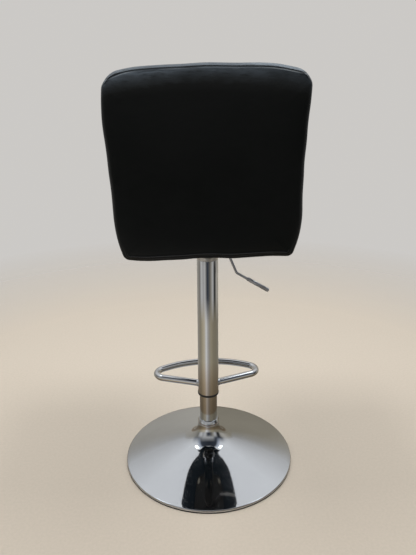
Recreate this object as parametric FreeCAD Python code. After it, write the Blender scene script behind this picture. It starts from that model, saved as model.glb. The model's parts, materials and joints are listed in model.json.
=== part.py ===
import FreeCAD, Part

# Adjustable swivel chair on a trumpet base: one upholstered seat and back on a gas lift.
# Millimetres. +Z is up, the floor is z = 0 and the lift's axis is the Z axis.
# The sitter faces +Y, so the back's outer face looks towards -Y.

import math
import os

from FreeCAD import Vector

# Driving dimensions

# Corners and fits
tight_corner_share = 0.35
running_fit = 0.06
press_gap = 0.04
free_gap = 0.3
overrun = 6.0

# Travel of the lift from the height at which it stands here
lift_down = 60.0
lift_up = 150.0
end_gap = 3.0

# Base
base_radius = 205.0
base_height = 96.0
neck_radius = 25.8
shell_wall = 1.5
rim_width = 2.0
rim_top = 8.0
rim_bottom = 2.5
neck_sweep_radius = 50.0

floor_ring_width = 8.5
floor_ring_lip = 2.0
floor_ring_lip_height = 3.0

ballast_bottom = 8.0
ballast_thickness = 10.0
ballast_rim_gap = 55.0
ballast_bevel = 5.0
ballast_hub_radius = 40.0
ballast_hub_height = 5.0
ballast_pocket_count = 4
ballast_pocket_radius = 22.0
ballast_pocket_depth = 4.0

# Column fixed in the base
column_radius = 21.2
column_wall = 1.8
seal_height = 1.0
collar_height = 9.0
collar_top_wall = 1.2
collar_band = 3.0
lowest_gap = 7.0
foot_height = 14.0
spigot_radius = 15.0
spigot_bottom = 2.0
spigot_recess_radius = 10.0
spigot_recess_depth = 6.0
nut_across_flats = 46.0
nut_height = 4.5
nut_washer_radius = 27.0
nut_washer_height = 1.5
bush_length = 60.0
bush_flange = 3.0

# Piston rod and its thrust bearing
rod_radius = 5.0
rod_end = 3.5
rod_shoulder_radius = 8.0
rod_shoulder_height = 4.0
clip_height = 1.1
clip_radius = 8.0
clip_groove_depth = 0.8
clip_mouth = 6.0
clip_rise = 1.5
rod_washer_radius = 9.0
rod_washer_height = 1.5
race_outer_radius = 16.0
race_height = 3.2
roller_radius = 1.6
roller_length = 6.0
roller_count = 8
roller_ring_radius = 11.0
roller_play = 0.1
cage_height = 1.4
cage_width = 8.4
piston_height = 12.0

# Gas cylinder
cylinder_radius = 14.0
cylinder_wall = 1.6
cylinder_below_bush = 5.0
gland_height = 18.0
cone_length = 36.0
cone_drop = 0.9
cylinder_plug = 18.0
button_radius = 4.0
button_height = 15.7
button_proud = 5.7
button_dome_radius = 9.0

# Cover tube that rides down over the column
cover_radius = 25.0
cover_wall = 1.5
cover_length = 343.0
ring_proud = 0.8
ring_height = 5.0
ring_sleeve = 30.0
cap_height = 8.0
cap_boss = 12.0
neck_gap = 1.0

# Footrest
footrest_tube_radius = 8.0
footrest_wall = 1.2
footrest_rise = 27.0
footrest_sweep_deg = 19.8
footrest_turn_deg = 4.4
footrest_start_y = -7.2
footrest_reach = 107.0
footrest_bow_radius = 222.0
footrest_corner_radius = 24.0
weld_width = 2.5
weld_length = 4.0

# Swivel plate, lever housing and tapered socket
plate_size = 184.0
plate_thickness = 2.5
plate_corner = 22.0
plate_rim = 9.0
plate_headroom = 17.5
plate_hole_spacing = 155.0
plate_rib_length = 96.0
plate_rib_width = 10.0
plate_rib_depth = 2.0
plate_rib_offset = 46.0
rib_corner_share = 0.4
socket_radius = 19.0
socket_start = 2.0
socket_above = 2.0
housing_length = 64.0
housing_width = 44.0
housing_wall = 2.5
housing_flange = 12.0
housing_above_socket = 9.0

# Lever
pivot_x = 22.0
pivot_above_cylinder = 7.0
pivot_radius = 3.0
pivot_proud = 2.0
spacer_wall = 2.0
rocker_width = 10.0
nose_gap = 0.3
nose_reach = 6.0
rocker_height = 6.6
rocker_nose_end = 12.5
rocker_socket_gap = 0.6
rocker_shoulder = 31.5
rocker_heel = 40.0
rocker_heel_drop = 12.0
rocker_back = 42.0
rocker_back_drop = 2.0
lever_rod_radius = 3.0
lever_root_x = 34.5
lever_root_drop = 7.0
lever_bend_x = 68.6
lever_bend_drop = 81.4
lever_bend_radius = 12.0
lever_tip_x = 142.4
lever_tip_drop = 43.4
sleeve_radius = 4.7
sleeve_length = 58.6
sleeve_proud = 2.0

# Fasteners
bolt_radius = 4.0
bolt_head_height = 5.5
bolt_head_across = 13.0
bolt_washer_radius = 8.0
bolt_washer_height = 1.6
tee_barrel_wall = 1.2
tee_flange_radius = 10.0
tee_flange_height = 1.5
screw_radius = 2.2
screw_head_radius = 4.5
screw_head_height = 2.4
screw_bite = 9.0

# Seat and back frame
cover_cloth = 1.0
cover_cloth_inset = 14.0
board_thickness = 12.0
board_inset = 18.0
strap_width = 30.0
strap_thickness = 4.0
strap_spacing = 190.0
strap_seat_leg = 84.0
strap_back_leg = 124.0
strap_hole_inset = 16.0
strap_hole_pitch = 46.0

# Seat cushion
seat_half_width = 188.0
seat_rear_half_width = 150.0
seat_hip_y = -95.0
seat_hip_radius = 120.0
seat_side_draw = 2.5
seat_front = 200.0
seat_front_bow = 7.0
seat_front_corner = 45.0
seat_front_radius = 1200.0
seat_side_radius = 2000.0
seat_thickness = 68.0
seat_crown_radius = 1150.0
seat_crown_y = 15.0
seat_inset_shares = (0.4, 0.0, 0.06, 0.4, 1.0)
seat_height_shares = (0.0, 0.2, 0.62, 0.88, 1.03)
seat_roll = 22.0

# Back
back_rear_y = -200.0
back_lean_deg = 6.0
back_height = 384.6
back_top_peak_rise = 10.0
back_shoulder_drop = 15.1
back_top_half_width = 193.5
back_waist_half_width = 188.2
back_waist_height = 205.0
back_hip_half_width = 184.0
back_hip_height = 62.0
back_foot_half_width = 166.0
back_crest_reach_share = 0.9
back_shoulder_radius = 33.0
back_waist_radius = 2000.0
back_hip_radius = 250.0
back_foot_radius = 8.0
rear_pad_thickness = 14.0
rear_crown_radius = 3600.0
rear_crown_proud = 4.0
rear_roll = 24.0
rear_inset_shares = (1.0, 0.5, 0.2, 0.03, 0.0)
rear_depth_shares = (-0.28, 0.0, 0.3, 0.7, 2.0)
back_pad_thickness = 42.0
back_crown_radius = 1500.0
back_roll = 22.0
back_inset_shares = (0.0, 0.0, 0.14, 0.5, 1.0)
back_depth_shares = (0.0, 0.36, 0.68, 0.9, 1.06)
back_pad_start = 42.0

# Heights worked out from the values above, from the floor up

seal_bottom = base_height
collar_bottom = seal_bottom + seal_height
collar_top = collar_bottom + collar_height
ring_bottom = collar_top + lowest_gap + lift_down
cover_bottom = ring_bottom + ring_height
cover_top = cover_bottom + cover_length
cap_top = cover_top + cap_height
cone_start = cap_top + neck_gap
cylinder_top = cone_start + cone_length
socket_bottom = cone_start + socket_start
socket_top = cylinder_top + socket_above
housing_bottom = socket_bottom + housing_above_socket
plate_bottom = cylinder_top + plate_headroom
plate_top = plate_bottom + plate_thickness
cloth_top = plate_top + cover_cloth
board_top = cloth_top + board_thickness
pivot_z = cylinder_top + pivot_above_cylinder
button_top = cylinder_top + button_proud

ballast_radius = base_radius - ballast_rim_gap
ballast_top = ballast_bottom + ballast_thickness
ballast_pocket_ring = (ballast_hub_radius + ballast_radius - ballast_bevel) / 2
foot_top = ballast_top + foot_height
column_top = ring_bottom + lift_up + bush_length + end_gap + ring_height
bush_bottom = column_top - bush_length
cylinder_bottom = bush_bottom - lift_up - cylinder_below_bush
piston_bottom = cylinder_bottom + gland_height + lift_up + end_gap

column_bore = column_radius - column_wall
cover_bore = cover_radius - cover_wall
cylinder_bore = cylinder_radius - cylinder_wall
footrest_z = ring_bottom + footrest_rise
seat_peak = cloth_top + seat_thickness

# Further out than any piece reaches, for cutting tools
beyond = 2 * base_radius

# Degrees
full_turn = 360
quarter_turn = full_turn / 4

up = Vector(0, 0, 1)
origin = Vector(0, 0, 0)
axis_x = Vector(1, 0, 0)
axis_y = Vector(0, 1, 0)


# Shape helpers

def cylinder(radius, bottom, top, x=0, y=0):
    return Part.makeCylinder(radius, top - bottom, Vector(x, y, bottom))


def tube(inner, outer, bottom, top, x=0, y=0):
    return cylinder(outer, bottom, top, x, y).cut(
        cylinder(inner, bottom - overrun, top + overrun, x, y))


def cone(radius_low, radius_high, bottom, top):
    return Part.makeCone(radius_low, radius_high, top - bottom, Vector(0, 0, bottom))


def box(x0, x1, y0, y1, z0, z1):
    return Part.makeBox(x1 - x0, y1 - y0, z1 - z0, Vector(x0, y0, z0))


def revolved(edges):
    """Solid of revolution about Z from a closed outline of edges in the XZ plane."""
    return Part.Face(Part.Wire(edges)).revolve(origin, up, full_turn)


def revolved_outline(points):
    """Solid of revolution from (radius, height) corners."""
    corners = [Vector(radius, 0, height) for radius, height in points]
    return revolved(line_edges(corners + corners[:1]))


def on_arc(centre, radius, angle):
    """Point of the XZ plane at one angle round a centre (x, z)."""
    return Vector(centre[0] + radius * math.cos(angle), 0, centre[1] + radius * math.sin(angle))


def arc_edge(centre, radius, start, end):
    """Arc in the XZ plane from one angle to another."""
    middle = (start + end) / 2
    return Part.Arc(
        on_arc(centre, radius, start), on_arc(centre, radius, middle),
        on_arc(centre, radius, end)).toShape()


def line_edges(points):
    return [Part.LineSegment(a, b).toShape() for a, b in zip(points, points[1:])]


def drawn_in(corners, inset):
    """The outline (u, v, radius), given anticlockwise, moved in by inset on every side."""
    moved = []
    for i, (u, v, radius) in enumerate(corners):
        before = corners[i - 1]
        after = corners[(i + 1) % len(corners)]
        first = Vector(before[1] - v, u - before[0], 0).normalize()
        second = Vector(v - after[1], after[0] - u, 0).normalize()
        shift = (first + second) * (inset / (1 + first.dot(second)))
        tightest = radius * tight_corner_share
        moved.append((u + shift.x, v + shift.y, max(radius - inset, tightest)))
    return moved


def rounded_wire(corners, place, inset=0):
    """Closed wire of lines with a tangent arc at each corner (u, v, radius)."""
    corners = drawn_in(corners, inset)
    points = [place(u, v) for u, v, radius in corners]
    edges = []
    ends = []
    for i, (u, v, radius) in enumerate(corners):
        here = points[i]
        back = (points[i - 1] - here).normalize()
        ahead = (points[(i + 1) % len(points)] - here).normalize()
        half = back.getAngle(ahead) / 2
        reach = radius / math.tan(half)
        bisector = (back + ahead).normalize()
        middle = here + bisector * (radius / math.sin(half) - radius)
        ends.append((here + back * reach, middle, here + ahead * reach))
    for i, (start, middle, end) in enumerate(ends):
        edges.append(Part.Arc(start, middle, end).toShape())
        edges.append(Part.LineSegment(end, ends[(i + 1) % len(ends)][0]).toShape())
    return Part.Wire(edges)


def lofted(wires):
    return Part.makeLoft(wires, True, True)


hexagon_sides = 6


def hexagon(across, bottom, top, x=0, y=0):
    corner = across / math.sqrt(3)
    points = []
    for i in range(hexagon_sides):
        angle = math.radians(full_turn * i / hexagon_sides)
        points.append(Vector(x + corner * math.cos(angle), y + corner * math.sin(angle), bottom))
    return Part.Face(Part.makePolygon(points + points[:1])).extrude(up * (top - bottom))


def rod_along(points, radius, bend):
    """Round bar on straight runs with one tangent bend at each inner point."""
    edges = []
    start = points[0]
    for i in range(1, len(points) - 1):
        here = points[i]
        back = (points[i - 1] - here).normalize()
        ahead = (points[i + 1] - here).normalize()
        half = back.getAngle(ahead) / 2
        reach = bend / math.tan(half)
        middle = here + (back + ahead).normalize() * (bend / math.sin(half) - bend)
        edges.append(Part.LineSegment(start, here + back * reach).toShape())
        edges.append(Part.Arc(here + back * reach, middle, here + ahead * reach).toShape())
        start = here + ahead * reach
    edges.append(Part.LineSegment(start, points[-1]).toShape())
    section = Part.Wire([Part.makeCircle(radius, points[0], points[1] - points[0])])
    return Part.Wire(edges).makePipeShell([section], True, False)


def group(solids):
    return Part.makeCompound(solids)


def square_places(spacing):
    half = spacing / 2
    return [(sx * half, sy * half) for sx in (-1, 1) for sy in (-1, 1)]


# Base

def make_base_shell():
    """Sheet trumpet: a sweep at the neck, a straight flank and a turned-down rim."""
    neck_centre = (neck_radius + neck_sweep_radius, base_height)
    run = base_radius - rim_width - neck_centre[0]
    drop = base_height - rim_top
    slope = math.acos(neck_sweep_radius / math.hypot(run, drop)) - math.atan2(run, drop)
    flank_angle = math.pi * 3 / 2 - slope
    neck_out = neck_sweep_radius
    neck_in = neck_sweep_radius + shell_wall
    step = shell_wall + (rim_width - shell_wall) * math.sin(slope)
    rim_points = [
        on_arc(neck_centre, neck_out, flank_angle),
        Vector(base_radius - rim_width, 0, rim_top),
        Vector(base_radius, 0, rim_top - rim_width),
        Vector(base_radius, 0, rim_bottom),
        Vector(base_radius - shell_wall, 0, rim_bottom),
        Vector(base_radius - shell_wall, 0, rim_top - step / math.cos(slope)),
        on_arc(neck_centre, neck_in, flank_angle),
    ]
    neck_points = [
        Vector(neck_radius - shell_wall, 0, base_height), Vector(neck_radius, 0, base_height)]
    sweep_out = [arc_edge(neck_centre, neck_out, math.pi, flank_angle)]
    sweep_in = [arc_edge(neck_centre, neck_in, flank_angle, math.pi)]
    return revolved(sweep_out + line_edges(rim_points) + sweep_in + line_edges(neck_points))


def make_floor_ring():
    outer = base_radius
    lip_outer = base_radius - shell_wall - press_gap
    return revolved_outline([
        (outer - floor_ring_width, 0),
        (outer, 0),
        (outer, rim_bottom),
        (lip_outer, rim_bottom),
        (lip_outer, rim_bottom + floor_ring_lip_height),
        (lip_outer - floor_ring_lip, rim_bottom + floor_ring_lip_height),
        (lip_outer - floor_ring_lip, rim_bottom),
        (outer - floor_ring_width, rim_bottom),
    ])


def make_ballast():
    disc = revolved_outline([
        (spigot_radius + press_gap, ballast_bottom),
        (ballast_radius, ballast_bottom),
        (ballast_radius, ballast_top - ballast_bevel),
        (ballast_radius - ballast_bevel, ballast_top),
        (spigot_radius + press_gap, ballast_top),
    ])
    hub_low = ballast_top
    hub_high = ballast_top + ballast_hub_height
    hub = tube(column_radius + press_gap, ballast_hub_radius, hub_low, hub_high)
    casting = disc.fuse(hub)
    for i in range(ballast_pocket_count):
        angle = 2 * math.pi * i / ballast_pocket_count
        casting = casting.cut(cylinder(
            ballast_pocket_radius, ballast_top - ballast_pocket_depth, ballast_top + overrun,
            ballast_pocket_ring * math.cos(angle), ballast_pocket_ring * math.sin(angle)))
    return casting.removeSplitter()


def make_column_tube():
    return tube(column_bore, column_radius, ballast_top, column_top)


def make_column_seal():
    return tube(column_radius + press_gap, neck_radius, seal_bottom, collar_bottom)


def make_column_collar():
    inner = column_radius + press_gap
    return revolved_outline([
        (inner, collar_bottom),
        (neck_radius, collar_bottom),
        (neck_radius, collar_bottom + collar_band),
        (inner + collar_top_wall, collar_top),
        (inner, collar_top),
    ])


def make_column_foot():
    body = cylinder(column_bore - press_gap, ballast_top, foot_top)
    spigot = cylinder(spigot_radius, spigot_bottom, ballast_top)
    foot = body.fuse(spigot).removeSplitter()
    foot = foot.cut(cylinder(rod_radius + running_fit, spigot_bottom - overrun, foot_top + overrun))
    recess_top = spigot_bottom + spigot_recess_depth
    return foot.cut(cylinder(spigot_recess_radius, spigot_bottom - overrun, recess_top))


def make_base_washer():
    bottom = ballast_bottom - nut_washer_height
    return tube(spigot_radius + press_gap, nut_washer_radius, bottom, ballast_bottom)


def make_base_nut():
    top = ballast_bottom - nut_washer_height
    nut = hexagon(nut_across_flats, top - nut_height, top)
    return nut.cut(cylinder(spigot_radius + press_gap, top - nut_height - overrun, top + overrun))


def make_guide_bush():
    inner = cylinder_radius + running_fit
    sleeve = tube(inner, column_bore - press_gap, bush_bottom, column_top)
    flange = tube(inner, column_radius, column_top, column_top + bush_flange)
    return sleeve.fuse(flange).removeSplitter()


# Thrust bearing and piston rod

lower_race_top = foot_top + race_height
roller_z = lower_race_top + press_gap + roller_radius
upper_race_bottom = roller_z + roller_radius + press_gap
upper_race_top = upper_race_bottom + race_height


def race(bottom, top):
    return tube(rod_radius + running_fit, race_outer_radius, bottom, top)


def roller_shapes(radius, length):
    """Cylinders that lie outwards round the rod like the bearing's rollers."""
    shapes = []
    for i in range(roller_count):
        roller = Part.makeCylinder(
            radius, length, Vector(roller_ring_radius - length / 2, 0, roller_z), axis_x)
        roller.rotate(origin, up, full_turn * i / roller_count)
        shapes.append(roller)
    return shapes


def make_bearing_cage():
    bottom = roller_z - cage_height / 2
    cage = tube(
        roller_ring_radius - cage_width / 2, roller_ring_radius + cage_width / 2,
        bottom, bottom + cage_height)
    for pocket in roller_shapes(roller_radius + roller_play, roller_length + 2 * roller_play):
        cage = cage.cut(pocket)
    return cage


clip_bottom = rod_end + clip_rise
clip_top = clip_bottom + clip_height
groove_radius = rod_radius - clip_groove_depth


def make_piston_rod():
    rod = cylinder(rod_radius, rod_end, piston_bottom + piston_height)
    shoulder = cylinder(rod_shoulder_radius, upper_race_top, upper_race_top + rod_shoulder_height)
    groove = tube(
        groove_radius, rod_radius + overrun, clip_bottom - press_gap, clip_top + press_gap)
    return rod.fuse(shoulder).cut(groove)


def make_rod_clip():
    clip = tube(groove_radius + press_gap, clip_radius, clip_bottom, clip_top)
    mouth = box(
        0, clip_radius + overrun, -clip_mouth / 2, clip_mouth / 2,
        clip_bottom - overrun, clip_top + overrun)
    return clip.cut(mouth)


def make_rod_washer():
    top = spigot_bottom + spigot_recess_depth
    return tube(rod_radius + running_fit, rod_washer_radius, top - rod_washer_height, top)


def make_piston():
    return tube(
        rod_radius + press_gap, cylinder_bore - running_fit,
        piston_bottom, piston_bottom + piston_height)


# Gas cylinder, cover tube and footrest

def make_gas_cylinder():
    barrel = cylinder(cylinder_radius, cylinder_bottom, cone_start)
    taper = cone(cylinder_radius, cylinder_radius - cone_drop, cone_start, cylinder_top)
    body = barrel.fuse(taper)
    body = body.cut(cylinder(cylinder_bore, cylinder_bottom - overrun, cylinder_top - cylinder_plug))
    return body.cut(cylinder(
        button_radius + running_fit, cylinder_top - cylinder_plug - overrun, cylinder_top + overrun))


def make_cylinder_gland():
    return tube(
        rod_radius + running_fit, cylinder_bore - press_gap,
        cylinder_bottom, cylinder_bottom + gland_height)


def make_valve_button():
    rise = button_dome_radius - math.sqrt(button_dome_radius ** 2 - button_radius ** 2)
    half_radius = button_radius / 2
    half_rise = button_dome_radius - math.sqrt(button_dome_radius ** 2 - half_radius ** 2)
    bottom = button_top - button_height
    foot = Vector(0, 0, bottom)
    foot_edge = Vector(button_radius, 0, bottom)
    shoulder = Vector(button_radius, 0, button_top - rise)
    middle = Vector(half_radius, 0, button_top - half_rise)
    crown = Vector(0, 0, button_top)
    return revolved([
        Part.LineSegment(foot, foot_edge).toShape(),
        Part.LineSegment(foot_edge, shoulder).toShape(),
        Part.Arc(shoulder, middle, crown).toShape(),
        Part.LineSegment(crown, foot).toShape(),
    ])


def make_cover_tube():
    return tube(cover_bore, cover_radius, cover_bottom, cover_top)


def make_cover_ring():
    inner = column_radius + free_gap
    lip = tube(inner, cover_radius + ring_proud, ring_bottom, cover_bottom)
    sleeve = tube(inner, cover_bore - press_gap, cover_bottom, cover_bottom + ring_sleeve)
    return lip.fuse(sleeve).removeSplitter()


def make_cover_cap():
    inner = cylinder_radius + press_gap
    return revolved_outline([
        (inner, cover_top - cap_boss),
        (cover_bore - press_gap, cover_top - cap_boss),
        (cover_bore - press_gap, cover_top),
        (cover_radius, cover_top),
        (cover_radius, cap_top),
        (inner, cap_top),
    ])


def footrest_plan():
    """Centre line of half the D loop: its root, corner centre, bow centre and angles."""
    sweep = math.radians(footrest_sweep_deg)
    along = Vector(math.cos(sweep), math.sin(sweep), 0)
    inward = Vector(-math.sin(sweep), math.cos(sweep), 0)
    bow_centre = Vector(0, footrest_reach - footrest_bow_radius, footrest_z)
    start = Vector(0, footrest_start_y, footrest_z)
    offset = start + inward * footrest_corner_radius - bow_centre
    reach = footrest_bow_radius - footrest_corner_radius
    half_b = offset.dot(along)
    distance = math.sqrt(half_b ** 2 - offset.dot(offset) + reach ** 2) - half_b
    corner_centre = bow_centre + offset + along * distance
    bow_angle = math.atan2(corner_centre.y - bow_centre.y, corner_centre.x)
    return start, along, distance, corner_centre, bow_centre, bow_angle


def round_face(radius, place, facing):
    return Part.Face(Part.Wire([Part.makeCircle(radius, place, facing)]))


def footrest_bar(radius):
    start, along, distance, corner_centre, bow_centre, bow_angle = footrest_plan()
    strand_end = start + along * distance
    strand = Part.makeCylinder(radius, distance - cover_bore / 2, start + along * (cover_bore / 2), along)
    corner_turn = quarter_turn - footrest_sweep_deg + math.degrees(bow_angle)
    corner = round_face(radius, strand_end, along).revolve(corner_centre, up, corner_turn)
    outward = Vector(math.cos(bow_angle), math.sin(bow_angle), 0)
    tangent = Vector(-math.sin(bow_angle), math.cos(bow_angle), 0)
    bow = round_face(radius, bow_centre + outward * footrest_bow_radius, tangent).revolve(
        bow_centre, up, 2 * (quarter_turn - math.degrees(bow_angle)))
    side = strand.fuse(corner)
    return side.fuse(bow).fuse(side.mirror(origin, axis_x))


def turned_footrest(shape):
    placed = shape.copy()
    placed.rotate(origin, up, footrest_turn_deg)
    return placed


def make_footrest():
    loop = footrest_bar(footrest_tube_radius).cut(footrest_bar(footrest_tube_radius - footrest_wall))
    return turned_footrest(loop.cut(cylinder(cover_radius, cover_bottom, cover_top)))


def make_footrest_welds():
    start, along = footrest_plan()[:2]
    root = start + along * (cover_bore / 2)
    inside = cover_radius - cover_bore / 2
    length = inside + weld_length
    strand = Part.makeCylinder(footrest_tube_radius, length + overrun, root, along)
    bead = Part.makeCone(
        footrest_tube_radius + weld_width, footrest_tube_radius + press_gap, length, root, along)
    bead = bead.cut(cylinder(cover_radius, cover_bottom, cover_top)).cut(strand)
    return turned_footrest(group([bead, bead.mirror(origin, axis_x)]))


# Swivel plate, housing, socket and lever

def make_swivel_plate():
    half = plate_size / 2

    def outline(inset, height):
        places = [(half, -half), (half, half), (-half, half), (-half, -half)]
        corners = [(u, v, plate_corner) for u, v in places]
        return rounded_wire(corners, lambda u, v: Vector(u, v, height), inset)

    rim_foot = plate_top - plate_rim
    plate = Part.Face(outline(0, rim_foot)).extrude(up * plate_rim)
    hollow = Part.Face(outline(plate_thickness, rim_foot - overrun)).extrude(
        up * (plate_bottom - rim_foot + overrun))
    plate = plate.cut(hollow)
    for x, y in square_places(plate_hole_spacing):
        plate = plate.cut(cylinder(
            bolt_radius + free_gap, plate_bottom - overrun, plate_top + overrun, x, y))
    rib_half = plate_rib_length / 2
    for side in (-1, 1):
        corners = [
            (side * plate_rib_offset + plate_rib_width / 2, -rib_half),
            (side * plate_rib_offset + plate_rib_width / 2, rib_half),
            (side * plate_rib_offset - plate_rib_width / 2, rib_half),
            (side * plate_rib_offset - plate_rib_width / 2, -rib_half),
        ]
        radius = plate_rib_width * rib_corner_share
        rib = Part.Face(rounded_wire(
            [(u, v, radius) for u, v in corners],
            lambda u, v: Vector(u, v, plate_bottom - plate_rib_depth))).extrude(up * plate_rib_depth)
        plate = plate.fuse(rib)
    return plate.removeSplitter()


def make_lever_housing():
    """Hat channel welded under the plate, with its holes for the socket and the pivot."""
    half = housing_width / 2
    inner = half - housing_wall
    flange_out = half + housing_flange
    corners = [
        (-flange_out, plate_bottom), (-half, plate_bottom),
        (-half + housing_wall, plate_bottom), (-inner, housing_bottom + housing_wall),
        (inner, housing_bottom + housing_wall), (inner, plate_bottom),
        (flange_out, plate_bottom), (flange_out, plate_bottom - housing_wall),
        (half, plate_bottom - housing_wall), (half, housing_bottom),
        (-half, housing_bottom), (-half, plate_bottom - housing_wall),
        (-flange_out, plate_bottom - housing_wall),
    ]
    points = [Vector(-housing_length / 2, y, z) for y, z in corners]
    points.append(points[0])
    channel = Part.Face(Part.makePolygon(points)).extrude(axis_x * housing_length)
    channel = channel.cut(cylinder(
        socket_radius + press_gap, housing_bottom - overrun, housing_bottom + housing_wall + overrun))
    pin = Part.makeCylinder(
        pivot_radius + press_gap, housing_width + 2 * overrun,
        Vector(pivot_x, -half - overrun, pivot_z), axis_y)
    return channel.cut(pin)


def make_taper_socket():
    grow = press_gap
    low = socket_bottom - overrun
    high = socket_top + overrun
    slope = cone_drop / cone_length
    low_radius = cylinder_radius + grow + slope * (cone_start - low)
    high_radius = cylinder_radius + grow - slope * (high - cone_start)
    return cylinder(socket_radius, socket_bottom, socket_top).cut(
        cone(low_radius, high_radius, low, high))


def make_pivot_pin():
    length = housing_width + 2 * pivot_proud
    return Part.makeCylinder(pivot_radius, length, Vector(pivot_x, -length / 2, pivot_z), axis_y)


def make_pivot_spacers():
    inner_half = housing_width / 2 - housing_wall
    length = inner_half - rocker_width / 2 - free_gap
    spacers = []
    for start in (-inner_half, rocker_width / 2 + free_gap):
        foot = Vector(pivot_x, start, pivot_z)
        outer = Part.makeCylinder(pivot_radius + spacer_wall, length, foot, axis_y)
        bore = Part.makeCylinder(pivot_radius + press_gap, length, foot, axis_y)
        spacers.append(outer.cut(bore))
    return group(spacers)


def lever_points():
    root = Vector(lever_root_x, 0, pivot_z - lever_root_drop)
    bend = Vector(lever_bend_x, 0, root.z - lever_bend_drop)
    tip = Vector(lever_tip_x, 0, bend.z - lever_tip_drop)
    return root, bend, tip


def make_lever_rocker():
    nose_bottom = button_top + nose_gap
    top = nose_bottom + rocker_height
    low = pivot_z - rocker_heel_drop
    socket_side = socket_radius + rocker_socket_gap
    corners = [
        (-nose_reach, nose_bottom),
        (rocker_nose_end, nose_bottom),
        (socket_side, socket_top + rocker_socket_gap),
        (socket_side, pivot_z - lever_root_drop),
        (rocker_heel - nose_reach, low),
        (rocker_heel, low),
        (rocker_back, pivot_z - rocker_back_drop),
        (rocker_shoulder, top),
        (-nose_reach, top),
    ]
    points = [Vector(x, -rocker_width / 2, z) for x, z in corners]
    points.append(points[0])
    rocker = Part.Face(Part.makePolygon(points)).extrude(axis_y * rocker_width)
    pin = Part.makeCylinder(
        pivot_radius + running_fit, rocker_width + 2 * overrun,
        Vector(pivot_x, -rocker_width / 2 - overrun, pivot_z), axis_y)
    root, bend, tip = lever_points()
    socket = Part.makeCylinder(
        lever_rod_radius + press_gap, lever_bend_drop, root, bend - root)
    return rocker.cut(pin).cut(socket)


def make_lever_rod():
    return rod_along(list(lever_points()), lever_rod_radius, lever_bend_radius)


def make_lever_sleeve():
    root, bend, tip = lever_points()
    along = (tip - bend).normalize()
    start = tip + along * (sleeve_proud - sleeve_length)
    outer = Part.makeCylinder(sleeve_radius, sleeve_length, start, along)
    bore = Part.makeCylinder(
        lever_rod_radius + press_gap, sleeve_length + 2 * overrun, start - along * overrun, along)
    return outer.cut(bore)


# Fasteners of the plate

def make_plate_bolts():
    head_top = plate_bottom - bolt_washer_height
    tip = board_top + tee_flange_height
    bolts = []
    for x, y in square_places(plate_hole_spacing):
        head = hexagon(bolt_head_across, head_top - bolt_head_height, head_top, x, y)
        bolts.append(head.fuse(cylinder(bolt_radius, head_top - bolt_head_height / 2, tip, x, y)))
    return group(bolts)


def make_plate_washers():
    bottom = plate_bottom - bolt_washer_height
    return group([
        tube(bolt_radius + press_gap, bolt_washer_radius, bottom, plate_bottom, x, y)
        for x, y in square_places(plate_hole_spacing)])


tee_barrel_radius = bolt_radius + press_gap + tee_barrel_wall


def make_tee_nuts():
    bore = bolt_radius + press_gap
    nuts = []
    for x, y in square_places(plate_hole_spacing):
        barrel = tube(bore, tee_barrel_radius, cloth_top, board_top, x, y)
        flange = tube(bore, tee_flange_radius, board_top, board_top + tee_flange_height, x, y)
        nuts.append(barrel.fuse(flange).removeSplitter())
    return group(nuts)


# Back and seat: the back's pieces are drawn upright, then leaned and set at the rear edge

def leaned(shape):
    placed = shape.copy()
    placed.rotate(origin, axis_x, back_lean_deg)
    placed.translate(Vector(0, back_rear_y, plate_top))
    return placed


def back_outline(inset, depth):
    """Outline of the back at one depth, drawn in by inset on every side."""
    crest = back_height + back_top_peak_rise
    shoulder = back_height - back_shoulder_drop
    crest_slope = (crest - shoulder) / back_top_half_width
    crest_reach = back_crest_reach_share * (back_top_half_width - back_shoulder_radius)
    right = [
        (back_foot_half_width, 0, back_foot_radius),
        (back_hip_half_width, back_hip_height, back_hip_radius),
        (back_waist_half_width, back_waist_height, back_waist_radius),
        (back_top_half_width, shoulder, back_shoulder_radius),
    ]
    left = [(-u, v, radius) for u, v, radius in reversed(right)]
    corners = right + [(0, crest, crest_reach / crest_slope)] + left
    return rounded_wire(corners, lambda u, v: Vector(u, depth, v), inset)


board_front = rear_pad_thickness + board_thickness


def make_back_board_upright():
    wire = back_outline(board_inset, rear_pad_thickness)
    return Part.Face(wire).extrude(axis_y * board_thickness)


def behind_board():
    """Everything behind the back board's front face, in the back's upright frame."""
    return box(-beyond, beyond, -beyond, board_front, -beyond, back_height + beyond)


def back_pad_space():
    """The room above the seat that the back's front cushion takes."""
    front = board_front + back_pad_thickness
    return box(-beyond, beyond, -beyond, front, back_pad_start, beyond)


def strap_shape(grow, x):
    """One L strap: a leg on the seat board and a leg on the back board."""
    half = strap_width / 2 + grow
    upright = leaned(box(
        x - half, x + half, board_front, board_front + strap_thickness + grow,
        0, strap_back_leg + grow))
    rear = back_rear_y + board_front - strap_thickness
    flat = box(
        x - half, x + half, rear - overrun, rear + strap_seat_leg + grow,
        board_top, board_top + strap_thickness + grow)
    strap = upright.fuse(flat)
    under = box(
        x - half - overrun, x + half + overrun, rear - 2 * overrun, rear + strap_seat_leg + overrun,
        plate_top - overrun, board_top)
    return strap.cut(under).cut(leaned(behind_board())).removeSplitter()


strap_places = (-strap_spacing / 2, strap_spacing / 2)


def screw(head_bottom, grow):
    head = cylinder(screw_head_radius + grow, head_bottom, head_bottom + screw_head_height + grow)
    shank = cylinder(screw_radius + grow, head_bottom - screw_bite - strap_thickness, head_bottom)
    return head.fuse(shank)


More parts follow.
